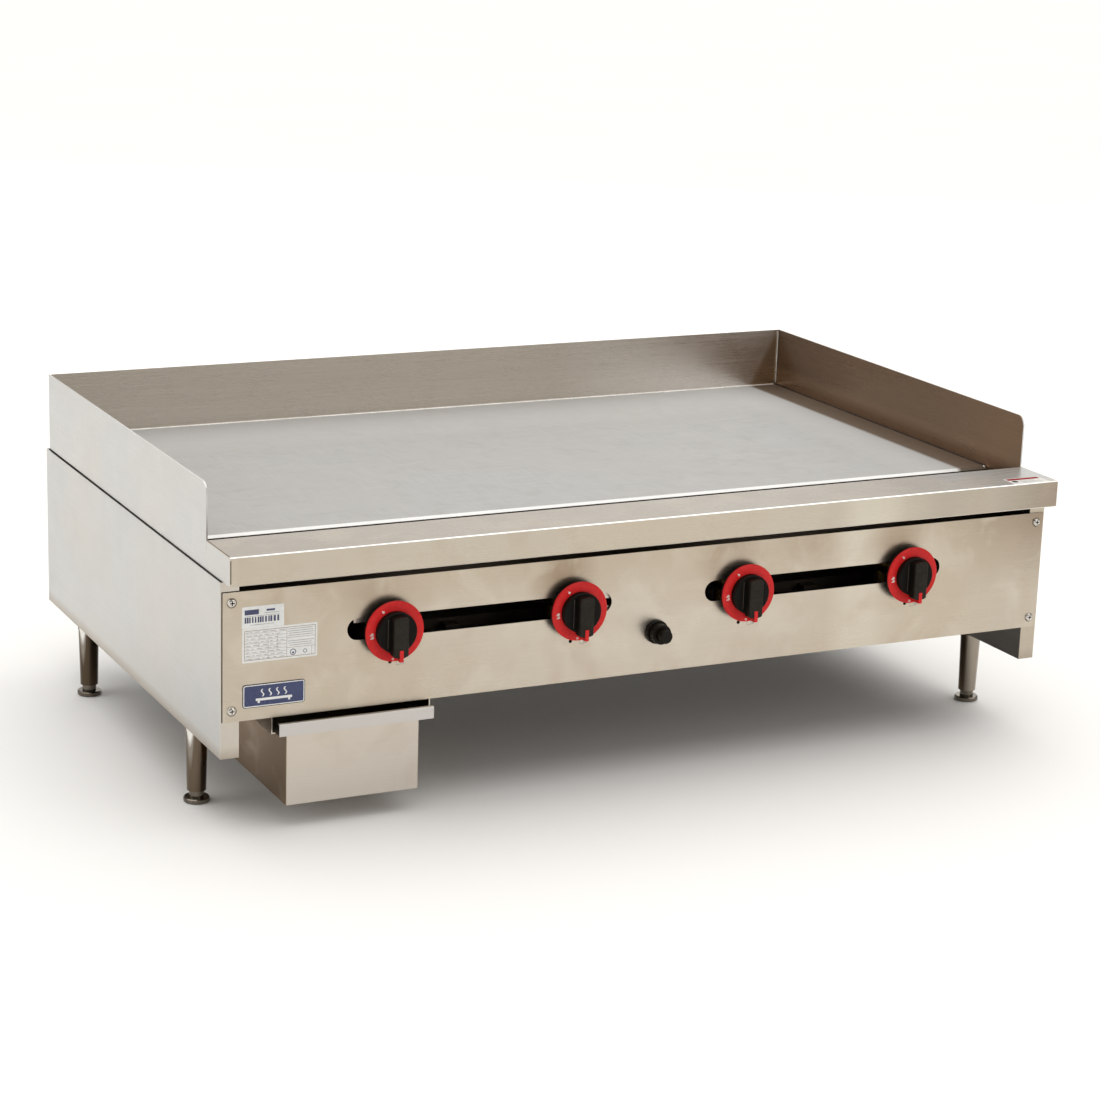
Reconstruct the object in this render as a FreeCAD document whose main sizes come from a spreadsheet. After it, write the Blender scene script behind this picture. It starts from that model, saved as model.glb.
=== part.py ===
"""Countertop gas griddle with a flat steel plate, four burner zones and a grease tray.

Frame: +Z up, X to the cook's right, Y from the cook towards the back.  The origin lies on the
worktop, under the middle of the griddle.  All y sizes in the sheet are counted from the control
panel's plane, and front_y moves that plane to its place.  Millimetres.
"""
import FreeCAD, Part
import os
import Sketcher

DIMENSIONS = [
    ("front_y", -357, "control panel plane, from the origin"),
    ("sheet", 1.5, "thickness of the body sheets"),
    ("body_width", 1219, "over the side boxes"),
    ("body_depth", 751, "side boxes, front to back"),
    ("body_bottom", 101.5, "underside of the side boxes"),
    ("body_top", 329, "top of the side boxes"),
    ("box_section", 24.5, "width of a side box"),
    ("panel_half", 607, "half width of the control panel"),
    ("panel_bottom", 149, "lower edge of the control panel"),
    ("panel_top", 315.7, "upper edge of the control panel"),
    ("panel_return", 12, "folded lower edge of the control panel"),
    ("slot_x", 255, "middle of each slot, from the middle of the pair"),
    ("slot_shift", -2.5, "middle of the pair of slots"),
    ("slot_z", 251.8, "middle of the slots"),
    ("slot_length", 371, "slot, end to end"),
    ("slot_height", 28.5, "slot height"),
    ("knob_z", 248.5, "valve axes"),
    ("knob_inner_x", 125.5, "inner valves"),
    ("knob_outer_x", 384.5, "outer valves"),
    ("igniter_x", -4.8, "igniter axis"),
    ("igniter_z", 205, "igniter axis"),
    ("igniter_hole", 25, "hole for the igniter"),
    ("pilot_z", 204.5, "pilot adjusting screws"),
    ("pilot_shift", 5, "inner pilot screws, to the left of their valves"),
    ("pilot_hole", 5, "holes for a screwdriver"),
    ("screw_x", 595.5, "panel screws"),
    ("screw_low_z", 163.5, "lower panel screws"),
    ("screw_high_z", 302.5, "upper panel screws"),
    ("screw_head", 11.5, "pan head diameter"),
    ("ledge_front", 29, "ledge ahead of the panel plane"),
    ("ledge_rear", 58.5, "rear edge of the ledge"),
    ("ledge_bottom", 330.2, "lower edge of the ledge's front"),
    ("ledge_top", 367.5, "top of the ledge"),
    ("ledge_fold", 8, "lower edge of the ledge, folded under"),
    ("ledge_flange", 16, "rear edge of the ledge, folded down"),
    ("splash_outer", 607, "outer faces of the side splashes"),
    ("splash_sheet", 2, "thickness of the splashes"),
    ("splash_bottom", 331, "lower edge of the side splashes"),
    ("splash_top", 440, "upper edge of the splashes"),
    ("splash_corner", 15, "radius of the front upper corners"),
    ("splash_rear", 740, "front face of the back splash"),
    ("rim_rear", 753, "rear edge of the back splash's rim"),
    ("rim_rise", 7.5, "rise of the rim"),
    ("plate_top", 350, "cooking surface"),
    ("plate_thick", 20, "thickness of the plate"),
    ("plate_front", 137, "front edge of the plate"),
    ("plate_front_bevel", 3.6, "bevel along the front edge of the plate"),
    ("plate_bevel", 1.5, "bevel along the other edges of the plate"),
    ("plate_rear", 739, "rear edge of the plate"),
    ("plate_half", 604, "half width of the plate"),
    ("trough_floor", 288, "floor of the grease trough"),
    ("trough_half", 583, "half length of the trough"),
    ("chute_x", -480, "middle of the drain chute"),
    ("chute_y", 112, "middle of the drain chute"),
    ("chute_width", 60, "drain chute, left to right"),
    ("chute_depth", 40, "drain chute, front to back"),
    ("chute_bottom", 139, "lower end of the chute"),
    ("floor_pan_z", 151, "underside of the floor pan"),
    ("rear_panel_y", 724.5, "front face of the rear panel"),
    ("manifold_y", 62, "gas manifold axis"),
    ("manifold_z", 206, "gas manifold axis"),
    ("pipe_radius", 13.5, "outside of the gas pipes"),
    ("pipe_wall", 2.6, "wall of the gas pipes"),
    ("inlet_x", 500, "feed pipe and gas inlet"),
    ("inlet_radius", 13.2, "outside of the inlet's thread"),
    ("leg_x", 594.5, "leg axes"),
    ("leg_front_y", 133, "front legs"),
    ("leg_rear_y", 602, "rear legs"),
    ("leg_top_radius", 15, "leg at the top"),
    ("leg_low_radius", 12.5, "leg at its lower end"),
    ("leg_low_z", 15.7, "lower end of a leg"),
    ("foot_radius", 17, "foot disc"),
    ("foot_thick", 6.5, "foot disc"),
    ("stem_radius", 9.7, "foot stem"),
    ("fit_gap", 0.3, "clearance round moving pieces"),
    ("tray_x", -434.6, "middle of the drip tray"),
    ("tray_width", 180, "drip tray over its walls"),
    ("tray_front", 6, "tray wall ahead of the panel plane"),
    ("tray_length", 460, "drip tray, front to back"),
    ("tray_bottom", 32, "underside of the drip tray"),
    ("tray_top", 130, "top of the tray's flanges"),
    ("tray_flange", 14, "width of the tray's flanges"),
    ("lip_width", 208.5, "tray pull"),
    ("lip_height", 16, "tray pull"),
    ("lip_front", 19.5, "tray pull ahead of the panel plane"),
    ("skirt_radius", 39.5, "red skirt of a knob"),
    ("skirt_front", 16.5, "face of the skirt ahead of the panel plane"),
    ("skirt_thick", 2.5, "thickness of the skirt"),
    ("hub_radius", 26.7, "round base of a knob's grip"),
    ("hub_front", 25.5, "face of the round base"),
    ("hub_bore", 4.1, "bore for the valve stem"),
    ("grip_half", 10, "half width of the grip bar"),
    ("grip_radius", 26.4, "half length of the grip bar"),
    ("grip_drop", 3, "middle of the grip bar, below the valve axis"),
    ("grip_front", 38.5, "face of the grip bar"),
    ("pointer_half", 2.6, "half width of the pointer"),
    ("pointer_thick", 4.4, "pointer below the end of the grip bar"),
    ("pointer_length", 15, "pointer, top to bottom"),
    ("valve_front", 14, "front end of a valve body"),
    ("valve_rear", 76, "rear end of a valve body"),
    ("valve_radius", 14, "outside of a valve body"),
    ("plug_radius", 8, "turning plug in a valve"),
    ("stem_bore", 4.3, "bore for a stem"),
    ("stem_shaft", 4, "radius of a valve stem"),
    ("burner_half", 56, "burner tubes, from the valve axis"),
    ("burner_radius", 16, "burner tubes"),
    ("burner_front", 150, "front of the burner header"),
    ("burner_rear", 690, "rear end of the burner tubes"),
    ("burner_mouth", 104, "front end of a burner's mixing throat"),
    ("burner_waist", 126, "where the throat turns straight"),
    ("mouth_radius", 20, "mixing throat at its mouth"),
    ("throat_radius", 13, "mixing throat past its waist"),
    ("burner_wall", 1.5, "wall of a burner"),
    ("header_depth", 30, "burner header, front to back"),
    ("flue_pitch", 120, "flue slots in the rear panel, centre to centre"),
    ("flue_length", 84, "flue slot"),
    ("flue_height", 9, "flue slot"),
    ("flue_low_z", 288, "lower row of flue slots"),
    ("flue_high_z", 306, "upper row of flue slots"),
    ("inlet_hole", 44, "hole in the rear panel for the inlet's coupling"),
    ("air_pitch", 160, "air slots in the floor pan, centre to centre"),
    ("air_length", 110, "air slot"),
    ("air_width", 14, "air slot"),
    ("air_front_y", 200, "front row of air slots"),
    ("air_rear_y", 620, "rear row of air slots"),
    ("rail_bottom", 180, "lower edge of the manifold rail"),
    ("rail_sheet", 2, "thickness of the manifold rail"),
    ("rail_shelf", 36, "depth of the manifold rail's shelf"),
    ("rail_drop", 20.5, "shelf of the manifold rail, below the valve axes"),
    ("manifold_half", 470, "half length of the manifold"),
    ("saddle_x", 270, "saddles left and right of the middle one"),
    ("coupling_y", 708, "front end of the inlet's hexagon coupling"),
    ("coupling_radius", 20, "hexagon coupling, across its corners, halved"),
    ("inlet_bore", 9, "radius of the bore through the inlet"),
    ("barrel_flange", 16, "flange of the igniter's barrel, behind the panel"),
    ("barrel_radius", 9.5, "igniter barrel behind its flange"),
    ("barrel_end", 42, "rear end of the igniter barrel"),
    ("collar_radius", 16, "igniter collar on the panel"),
    ("collar_front", 21, "face of the collar ahead of the panel plane"),
    ("button_radius", 9, "igniter button"),
    ("button_front", 33, "face of the button ahead of the panel plane"),
    ("shank_radius", 5.5, "shank of the button in its barrel"),
    ("screw_rise", 3.2, "height of a screw head"),
    ("screw_shaft", 2.4, "radius of a screw's shaft"),
    ("screw_hole", 2.6, "radius of a screw's hole"),
    ("recess_arm", 3, "cross recess, from its middle"),
    ("recess_half", 0.55, "cross recess, half width of an arm"),
    ("badge_left", -581, "left edge of the enamelled plate"),
    ("badge_right", -499, "right edge of the enamelled plate"),
    ("badge_low", 165, "lower edge of the enamelled plate"),
    ("badge_high", 195, "upper edge of the enamelled plate"),
    ("badge_thick", 0.8, "thickness of the enamelled plate"),
    ("tray_wall", 1.2, "thickness of the tray's walls"),
    ("runner_length", 476, "tray runners, front to back"),
    ("bolt_hole", 5.3, "radius of the holes for the leg studs"),
    ("foot_stem_top", 55, "upper end of a foot's stem"),
]

SIDES = (("left", -1), ("right", 1))
RAIL_GAP = 4  # between the valves and the manifold rail
AXIS_TURN = {
    "X": FreeCAD.Rotation(FreeCAD.Vector(0, 1, 0), 90),
    "Y": FreeCAD.Rotation(FreeCAD.Vector(1, 0, 0), -90),
    "Z": FreeCAD.Rotation(),
}


class Size:
    """A length that knows its value and the sheet expression it comes from."""

    def __init__(self, text, value):
        self.text = text
        self.value = value

    def __add__(self, other):
        other = size(other)
        return Size("(%s + %s)" % (self.text, other.text), self.value + other.value)

    def __sub__(self, other):
        other = size(other)
        return Size("(%s - %s)" % (self.text, other.text), self.value - other.value)

    def __mul__(self, factor):
        return Size("(%s * %s)" % (self.text, factor), self.value * factor)

    def __radd__(self, other):
        return size(other) + self

    def __rsub__(self, other):
        return size(other) - self

    def __neg__(self):
        return self * -1

    def __truediv__(self, factor):
        return self * (1 / factor)

    __rmul__ = __mul__


def size(value):
    return value if isinstance(value, Size) else Size(str(value), value)


class Dimensions:
    """The driving dimensions: a sheet in the document, and one Size for each cell."""

    def __init__(self, doc):
        sheet = doc.addObject("Spreadsheet::Sheet", "Dims")
        for row, (alias, value, note) in enumerate(DIMENSIONS, 1):
            sheet.set("A%d" % row, alias)
            sheet.set("B%d" % row, str(value))
            sheet.set("C%d" % row, note)
            sheet.setAlias("B%d" % row, alias)
            setattr(self, alias, Size("Dims." + alias, value))


doc = FreeCAD.newDocument("griddle")
D = Dimensions(doc)
doc.recompute()
parts = []


def keep(item, name):
    """Name a finished piece and put it on the list of sub-parts."""
    item.Label = name
    parts.append(item)
    return item


def bind(item, name, value):
    item.setExpression(name, size(value).text)


def place(item, x, y, z):
    """Place a piece, with y counted from the control panel's plane."""
    bind(item, "Placement.Base.x", x)
    bind(item, "Placement.Base.y", D.front_y + y)
    bind(item, "Placement.Base.z", z)


# Part primitives

def block(low, high):
    """A box between two opposite corners."""
    box = doc.addObject("Part::Box", "block")
    for side, start, end in zip(("Length", "Width", "Height"), low, high):
        bind(box, side, size(end) - start)
    place(box, *low)
    return box


def rod(radius, length, start, axis):
    """A round rod from a point along an axis."""
    cylinder = doc.addObject("Part::Cylinder", "rod")
    cylinder.Placement.Rotation = AXIS_TURN[axis]
    bind(cylinder, "Radius", radius)
    bind(cylinder, "Height", length)
    place(cylinder, *start)
    return cylinder


def cone(radius_start, radius_end, length, start):
    """A cone along +Y."""
    taper = doc.addObject("Part::Cone", "cone")
    taper.Placement.Rotation = AXIS_TURN["Y"]
    bind(taper, "Radius1", radius_start)
    bind(taper, "Radius2", radius_end)
    bind(taper, "Height", length)
    place(taper, *start)
    return taper


def fuse(*pieces):
    joined = doc.addObject("Part::MultiFuse", "fuse")
    joined.Shapes = list(pieces)
    return joined


def cut(base, tool):
    result = doc.addObject("Part::Cut", "cut")
    result.Base = base
    result.Tool = tool
    return result


def group(pieces):
    """Several separate solids in one node."""
    together = doc.addObject("Part::Compound", "group")
    together.Links = list(pieces)
    return together


# Bodies made from sketches

def new_body(x=0, y=0, z=0):
    body = doc.addObject("PartDesign::Body", "body")
    place(body, x, y, z)
    return body


def new_sketch(body, plane, offset=0):
    """A sketch on one of the body's own planes, moved along that plane's normal."""
    sketch = body.newObject("Sketcher::SketchObject", "sketch")
    role = plane + "_Plane"
    base = [item for item in body.Origin.OriginFeatures if item.Role == role][0]
    sketch.AttachmentSupport = [(base, "")]
    sketch.MapMode = "FlatFace"
    bind(sketch, "AttachmentOffset.Base.z", offset)
    return sketch


def fix(sketch, kind, where, value):
    """Add a constraint whose value follows the sheet."""
    value = size(value)
    index = sketch.addConstraint(Sketcher.Constraint(kind, *where, value.value))
    sketch.setExpression("Constraints[%d]" % index, value.text)


def fix_point(sketch, line, end, u, v):
    fix(sketch, "DistanceX", (-1, 1, line, end), u)
    fix(sketch, "DistanceY", (-1, 1, line, end), v)


def point(u, v):
    return FreeCAD.Vector(size(u).value, size(v).value, 0)


def add_outline(sketch, corners):
    """A closed outline of straight lines."""
    first = sketch.GeometryCount
    count = len(corners)
    for index, corner in enumerate(corners):
        following = corners[(index + 1) % count]
        sketch.addGeometry(Part.LineSegment(point(*corner), point(*following)))
    for index, corner in enumerate(corners):
        following = first + (index + 1) % count
        sketch.addConstraint(Sketcher.Constraint("Coincident", first + index, 2, following, 1))
        fix_point(sketch, first + index, 1, *corner)


def add_rectangle(sketch, low, high):
    add_outline(sketch, [low, (high[0], low[1]), high, (low[0], high[1])])


def add_circle(sketch, u, v, radius):
    circle = Part.Circle(point(u, v), FreeCAD.Vector(0, 0, 1), size(radius).value)
    index = sketch.addGeometry(circle)
    fix_point(sketch, index, 3, u, v)
    fix(sketch, "Radius", (index,), radius)


def add_stadium(sketch, u, v, length, height):
    """A slot with round ends, lying along u."""
    radius = height / 2
    reach = length / 2 - radius
    first = sketch.GeometryCount
    for side, start, end in ((-1, 90, 270), (1, -90, 90)):
        arc = Part.Circle(point(u + reach * side, v), FreeCAD.Vector(0, 0, 1), radius.value)
        angles = [FreeCAD.Units.Quantity("%d deg" % turn).getValueAs("rad").Value for turn in (start, end)]
        sketch.addGeometry(Part.ArcOfCircle(arc, *angles))
    for side in (-1, 1):
        height_line = v + radius * side
        sketch.addGeometry(Part.LineSegment(point(u - reach, height_line), point(u + reach, height_line)))
    left, right, low, high = range(first, first + 4)
    for arc, arc_end, line, line_end in ((left, 2, low, 1), (right, 1, low, 2),
                                         (right, 2, high, 2), (left, 1, high, 1)):
        sketch.addConstraint(Sketcher.Constraint("Tangent", arc, arc_end, line, line_end))
    fix_point(sketch, left, 3, u - reach, v)
    fix_point(sketch, right, 3, u + reach, v)
    fix(sketch, "Radius", (left,), radius)


def add_corner(sketch, u, v, radius, side):
    """The waste outside a round corner, whose sharp point would be at u, v."""
    over = 2
    inner = u - radius * side
    outer = u + over * side
    base = v - radius
    corners = [(u, base), (outer, base), (outer, v + over), (inner, v + over), (inner, v)]
    for start, end in zip(corners, corners[1:]):
        sketch.addGeometry(Part.LineSegment(point(*start), point(*end)))
    centre = point(inner, base)
    turn = FreeCAD.Vector(radius * side, radius, 0) * 0.5 ** 0.5
    sketch.addGeometry(Part.Arc(point(u, base), centre + turn, point(inner, v)))
    for line in range(3):
        sketch.addConstraint(Sketcher.Constraint("Coincident", line, 2, line + 1, 1))
    for line, corner in enumerate(corners[:4]):
        fix_point(sketch, line, 1, *corner)
    first, last = (1, 2) if side > 0 else (2, 1)
    fix_point(sketch, 4, 3, inner, base)
    sketch.addConstraint(Sketcher.Constraint("Coincident", 4, first, 0, 1))
    sketch.addConstraint(Sketcher.Constraint("Coincident", 4, last, 3, 2))
    sketch.addConstraint(Sketcher.Constraint("Vertical", 3))


def pad(body, sketch, length, side="One side", back=False):
    feature = body.newObject("PartDesign::Pad", "pad")
    feature.Profile = sketch
    feature.SideType = side
    feature.Reversed = back
    bind(feature, "Length", length)
    return feature


def pocket(body, sketch, depth, side="One side", back=False):
    """Cut a sketch into a body, and make sure that it takes something away."""
    doc.recompute()
    before = body.Shape.Volume
    feature = body.newObject("PartDesign::Pocket", "pocket")
    feature.Profile = sketch
    feature.SideType = side
    feature.Reversed = back
    bind(feature, "Length", depth)
    doc.recompute()
    if body.Shape.Volume > before - 1:
        raise RuntimeError("a pocket cuts nothing")
    return feature


def revolve(body, sketch, axis):
    feature = body.newObject("PartDesign::Revolution", "turned")
    feature.Profile = sketch
    feature.ReferenceAxis = (sketch, [axis])
    feature.Angle = 360
    return feature


def round_edges(body, radius, wanted):
    """Round each edge of the body whose middle and direction pass a test."""
    doc.recompute()
    base = body.Tip
    names = []
    for number, edge in enumerate(base.Shape.Edges, 1):
        middle = edge.valueAt((edge.FirstParameter + edge.LastParameter) / 2)
        along = edge.tangentAt((edge.FirstParameter + edge.LastParameter) / 2)
        if wanted(middle, along):
            names.append("Edge%d" % number)
    if not names:
        raise RuntimeError("no edge to round")
    fillet = body.newObject("PartDesign::Fillet", "rounding")
    fillet.Base = (base, names)
    bind(fillet, "Radius", radius)
    return fillet


def near(value, wanted):
    return abs(value - size(wanted).value) < 0.05


def profile_piece(plane, corners, length, side="Symmetric", offset=0, at=(0, 0, 0)):
    """A body with one straight-sided outline."""
    body = new_body(*at)
    sketch = new_sketch(body, plane, offset)
    add_outline(sketch, corners)
    pad(body, sketch, length, side)
    return body


def turned_piece(plane, axis, corners, at):
    """A body turned from a half outline."""
    body = new_body(*at)
    sketch = new_sketch(body, plane)
    add_outline(sketch, corners)
    revolve(body, sketch, axis)
    return body


# Housing

def side_panel(name, side):
    """A folded side box, closed at the bottom, that carries the plate and two legs."""
    body = new_body(0, 0, D.body_bottom)
    outer = D.body_width / 2
    inner = outer - D.box_section
    height = D.body_top - D.body_bottom
    low, high = sorted((outer * side, inner * side), key=lambda length: length.value)
    sketch = new_sketch(body, "XY")
    add_rectangle(sketch, (low, 0), (high, D.body_depth))
    pad(body, sketch, height)
    hollow = new_sketch(body, "XY", height)
    wall = D.sheet
    add_rectangle(hollow, (low + wall, wall), (high - wall, D.body_depth - wall))
    pocket(body, hollow, height - wall * 2)
    bolts = new_sketch(body, "XY", wall * 2)
    for place_y in (D.leg_front_y, D.leg_rear_y):
        add_circle(bolts, D.leg_x * side, place_y, D.bolt_hole)
    pocket(body, bolts, wall * 2)
    threads = new_sketch(body, "XZ")
    for place_z in (D.screw_low_z, D.screw_high_z):
        add_circle(threads, D.screw_x * side, place_z - D.body_bottom, D.screw_hole)
    pocket(body, threads, wall * 4, side="Symmetric")
    round_edges(body, 1.2, lambda middle, along: abs(along.z) > 0.99 and near(abs(middle.x), outer))
    return keep(body, name)


def front_panel():
    """The control panel: an overlay sheet with two long slots, folded under at its lower edge."""
    body = new_body()
    wall = D.sheet
    inner = D.body_width / 2 - D.box_section - 1
    face = new_sketch(body, "XZ")
    add_rectangle(face, (-D.panel_half, D.panel_bottom), (D.panel_half, D.panel_top))
    pad(body, face, wall)
    fold = new_sketch(body, "XZ", wall)
    add_rectangle(fold, (-inner, D.panel_bottom), (inner, D.panel_bottom + wall))
    pad(body, fold, wall + D.panel_return, back=True)
    holes = new_sketch(body, "XZ")
    for side in (-1, 1):
        add_stadium(holes, D.slot_shift + D.slot_x * side, D.slot_z, D.slot_length, D.slot_height)
        for place_x in (D.knob_inner_x * side - D.pilot_shift, D.knob_outer_x * side):
            add_circle(holes, place_x, D.pilot_z, D.pilot_hole / 2)
        for place_z in (D.screw_low_z, D.screw_high_z):
            add_circle(holes, D.screw_x * side, place_z, D.screw_hole)
    add_circle(holes, D.igniter_x, D.igniter_z, D.igniter_hole / 2)
    pocket(body, holes, wall * 3, side="Symmetric")
    return keep(body, "front_panel")


def rear_panel():
    """The rear panel, with flue slots near its top and a hole for the gas inlet."""
    body = new_body()
    wall = D.sheet
    half = D.body_width / 2 - D.box_section - 1
    sheet = new_sketch(body, "XZ", -D.rear_panel_y)
    add_rectangle(sheet, (-half, D.floor_pan_z), (half, D.body_top - 1))
    pad(body, sheet, wall, back=True)
    holes = new_sketch(body, "XZ", -D.rear_panel_y)
    slots = 9
    for index in range(slots):
        place_x = D.flue_pitch * (index - (slots - 1) / 2)
        for place_z in (D.flue_low_z, D.flue_high_z):
            add_stadium(holes, place_x, place_z, D.flue_length, D.flue_height)
    add_circle(holes, D.inlet_x, D.manifold_z, D.inlet_hole / 2)
    pocket(body, holes, wall * 4, side="Symmetric")
    return keep(body, "rear_panel")


def floor_pan():
    """The heat shield under the burners, with air slots and an opening for the drain chute."""
    body = new_body()
    half = D.body_width / 2 - D.box_section - 1
    sheet = new_sketch(body, "XY", D.floor_pan_z)
    add_rectangle(sheet, (-half, D.sheet), (half, D.rear_panel_y - 1))
    pad(body, sheet, D.sheet)
    holes = new_sketch(body, "XY", D.floor_pan_z)
    room = 3
    add_rectangle(holes,
                  (D.chute_x - D.chute_width / 2 - room, D.chute_y - D.chute_depth / 2 - room),
                  (D.chute_x + D.chute_width / 2 + room, D.chute_y + D.chute_depth / 2 + room))
    first_x = -240
    for column in range(5):
        for place_y in (D.air_front_y, D.air_rear_y):
            add_stadium(holes, D.air_pitch * column + first_x, place_y, D.air_length, D.air_width)
    pocket(body, holes, D.sheet * 4, side="Symmetric")
    return keep(body, "floor_pan")


def manifold_rail():
    """A cross rail between the side boxes, which holds the manifold and the burner mouths."""
    inner = D.body_width / 2 - D.box_section
    back = D.valve_rear + RAIL_GAP
    shelf = D.knob_z - D.rail_drop
    wall = D.rail_sheet
    reach = back + D.rail_shelf
    body = new_body()
    profile = new_sketch(body, "YZ")
    add_outline(profile, [(back, D.rail_bottom), (back + wall, D.rail_bottom), (back + wall, shelf - wall),
                          (reach, shelf - wall), (reach, shelf), (back, shelf)])
    pad(body, profile, inner * 2, "Symmetric")
    chute = new_sketch(body, "XY", shelf)
    room = 4
    add_rectangle(chute,
                  (D.chute_x - D.chute_width / 2 - room, D.chute_y - D.chute_depth / 2 - room),
                  (D.chute_x + D.chute_width / 2 + room, reach + room))
    pocket(body, chute, wall * 4)
    feed = new_sketch(body, "XZ", -back)
    add_circle(feed, D.inlet_x - 2, D.manifold_z, D.pipe_radius + 5.5)
    pocket(body, feed, wall * 4, side="Symmetric")
    return keep(body, "manifold_rail")


def burner_rail():
    """A cross angle under the rear ends of the burners."""
    low = D.knob_z - D.burner_radius
    rear = D.burner_rear + 1
    corners = [(rear - 28, low - 3), (rear + 3, low - 3), (rear + 3, low + 36), (rear, low + 36),
               (rear, low), (rear - 28, low)]
    inner = D.body_width / 2 - D.box_section
    return keep(profile_piece("YZ", corners, inner * 2), "burner_rail")


# Cooking top

def griddle_plate():
    """The polished steel plate, bevelled round its upper edge, more so along the front."""
    body = new_body()
    sheet = new_sketch(body, "XY", D.plate_top - D.plate_thick)
    add_rectangle(sheet, (-D.plate_half, D.plate_front), (D.plate_half, D.plate_rear))
    pad(body, sheet, D.plate_thick)
    for width, edge_y in ((D.plate_front_bevel, D.plate_front), (D.plate_bevel, D.plate_rear)):
        doc.recompute()
        base = body.Tip
        names = ["Edge%d" % number for number, edge in enumerate(base.Shape.Edges, 1)
                 if near(edge.BoundBox.ZMin, D.plate_top) and near(edge.BoundBox.YMax, edge_y)]
        bevel = body.newObject("PartDesign::Chamfer", "bevel")
        bevel.Base = (base, names)
        bind(bevel, "Size", width)
    return keep(body, "griddle_plate")


def side_splash(name, side):
    """A side splash: one sheet that also closes the end of the ledge, with a round front corner."""
    body = new_body()
    wall = D.sheet
    outer = D.splash_outer
    start = outer if side < 0 else outer - D.splash_sheet
    sketch = new_sketch(body, "YZ", start * side)
    rear = D.splash_rear + D.splash_sheet
    under_ledge = D.ledge_top - wall
    ledge_inside = -D.ledge_front + wall
    fold_rear = -D.ledge_front + D.ledge_fold
    fold_top = D.ledge_bottom + wall
    flange_front = D.ledge_rear - wall
    flange_low = D.ledge_top - D.ledge_flange
    add_outline(sketch, [
        (fold_rear, D.ledge_bottom), (D.splash_rear, D.splash_bottom), (rear, D.splash_bottom),
        (rear, D.splash_top), (D.ledge_rear, D.splash_top), (D.ledge_rear, flange_low),
        (flange_front, flange_low), (flange_front, under_ledge), (ledge_inside, under_ledge),
        (ledge_inside, fold_top), (fold_rear, fold_top)])
    pad(body, sketch, D.splash_sheet)

    def front_corner(middle, along):
        return abs(along.x) > 0.99 and near(middle.y, D.ledge_rear) and near(middle.z, D.splash_top)

    round_edges(body, D.splash_corner, front_corner)
    return keep(body, name)


def back_splash():
    """The back splash: an upright sheet whose rim leans back and up, with round ends."""
    body = new_body()
    wall = D.splash_sheet
    face = D.splash_rear
    low = D.plate_top - D.plate_thick + 1
    slope = wall * 0.87
    upright = new_sketch(body, "YZ")
    add_rectangle(upright, (face, low), (face + wall, D.splash_top))
    pad(body, upright, (D.splash_outer - D.splash_sheet) * 2, "Symmetric")
    rim = new_sketch(body, "YZ")
    add_outline(rim, [
        (face, D.splash_top), (face + wall, D.splash_top),
        (D.rim_rear, D.splash_top + D.rim_rise - slope), (D.rim_rear, D.splash_top + D.rim_rise)])
    pad(body, rim, D.splash_outer * 2, "Symmetric")

    for side in (-1, 1):
        corner = new_sketch(body, "XY", D.splash_top)
        add_corner(corner, D.splash_outer * side, D.rim_rear, 7, side)
        pocket(body, corner, 20, side="Symmetric")
    return keep(body, "back_splash")


def front_ledge():
    """The front ledge: one sheet folded down at the front, under at its lower edge, down behind."""
    wall = D.sheet
    top = D.ledge_top
    front = -D.ledge_front
    rear = D.ledge_rear
    low = D.ledge_bottom
    body = profile_piece("YZ", [
        (rear, top), (front, top), (front, low), (front + D.ledge_fold, low),
        (front + D.ledge_fold, low + wall), (front + wall, low + wall), (front + wall, top - wall),
        (rear - wall, top - wall), (rear - wall, top - D.ledge_flange),
        (rear, top - D.ledge_flange)], D.splash_outer * 2)

    def front_bend(middle, along):
        return abs(along.x) > 0.99 and near(middle.y, front) and middle.z > low.value - 1

    round_edges(body, 2, front_bend)

    def rear_bend(middle, along):
        return abs(along.x) > 0.99 and near(middle.y, rear) and near(middle.z, top)

    round_edges(body, 1.4, rear_bend)
    return keep(body, "front_ledge")


def grease_trough():
    """The trough between the ledge and the plate, with its drain chute at the left end."""
    wall = D.sheet
    front = D.ledge_rear + 0.2
    rear = D.plate_front - 1
    low = D.trough_floor - wall
    seat = D.splash_bottom - 1
    reach = D.splash_outer - D.splash_sheet - 0.2
    body = new_body()
    profile = new_sketch(body, "YZ")
    add_outline(profile, [
        (front, low), (rear, low), (rear, seat + wall), (rear - wall, seat + wall),
        (rear - wall, low + wall), (front + wall, low + wall), (front + wall, seat + wall),
        (front, seat + wall)])
    pad(body, profile, D.trough_half * 2, "Symmetric")
    for start, top in ((front, D.ledge_top - 2.5), (rear - wall, D.plate_top - 3)):
        upper = new_sketch(body, "YZ")
        add_rectangle(upper, (start, seat), (start + wall, top))
        pad(body, upper, reach * 2, "Symmetric")
    for start in (-D.trough_half, D.trough_half - wall):
        cap = new_sketch(body, "YZ", start)
        add_rectangle(cap, (front, low), (rear, seat + wall))
        pad(body, cap, wall)
    for start, end in ((-reach, -D.trough_half + wall), (D.trough_half - wall, reach)):
        shelf = new_sketch(body, "XY", seat)
        add_rectangle(shelf, (start, front), (end, rear))
        pad(body, shelf, wall)
    half_x = D.chute_width / 2
    half_y = D.chute_depth / 2
    outside = new_sketch(body, "XY", D.chute_bottom)
    add_rectangle(outside, (D.chute_x - half_x, D.chute_y - half_y), (D.chute_x + half_x, D.chute_y + half_y))
    pad(body, outside, low - D.chute_bottom)
    drain = new_sketch(body, "XY", D.chute_bottom)
    add_rectangle(drain, (D.chute_x - half_x + wall, D.chute_y - half_y + wall),
                  (D.chute_x + half_x - wall, D.chute_y + half_y - wall))
    pocket(body, drain, low + wall - D.chute_bottom, back=True)
    return keep(body, "grease_trough")


# Drip tray

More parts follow.
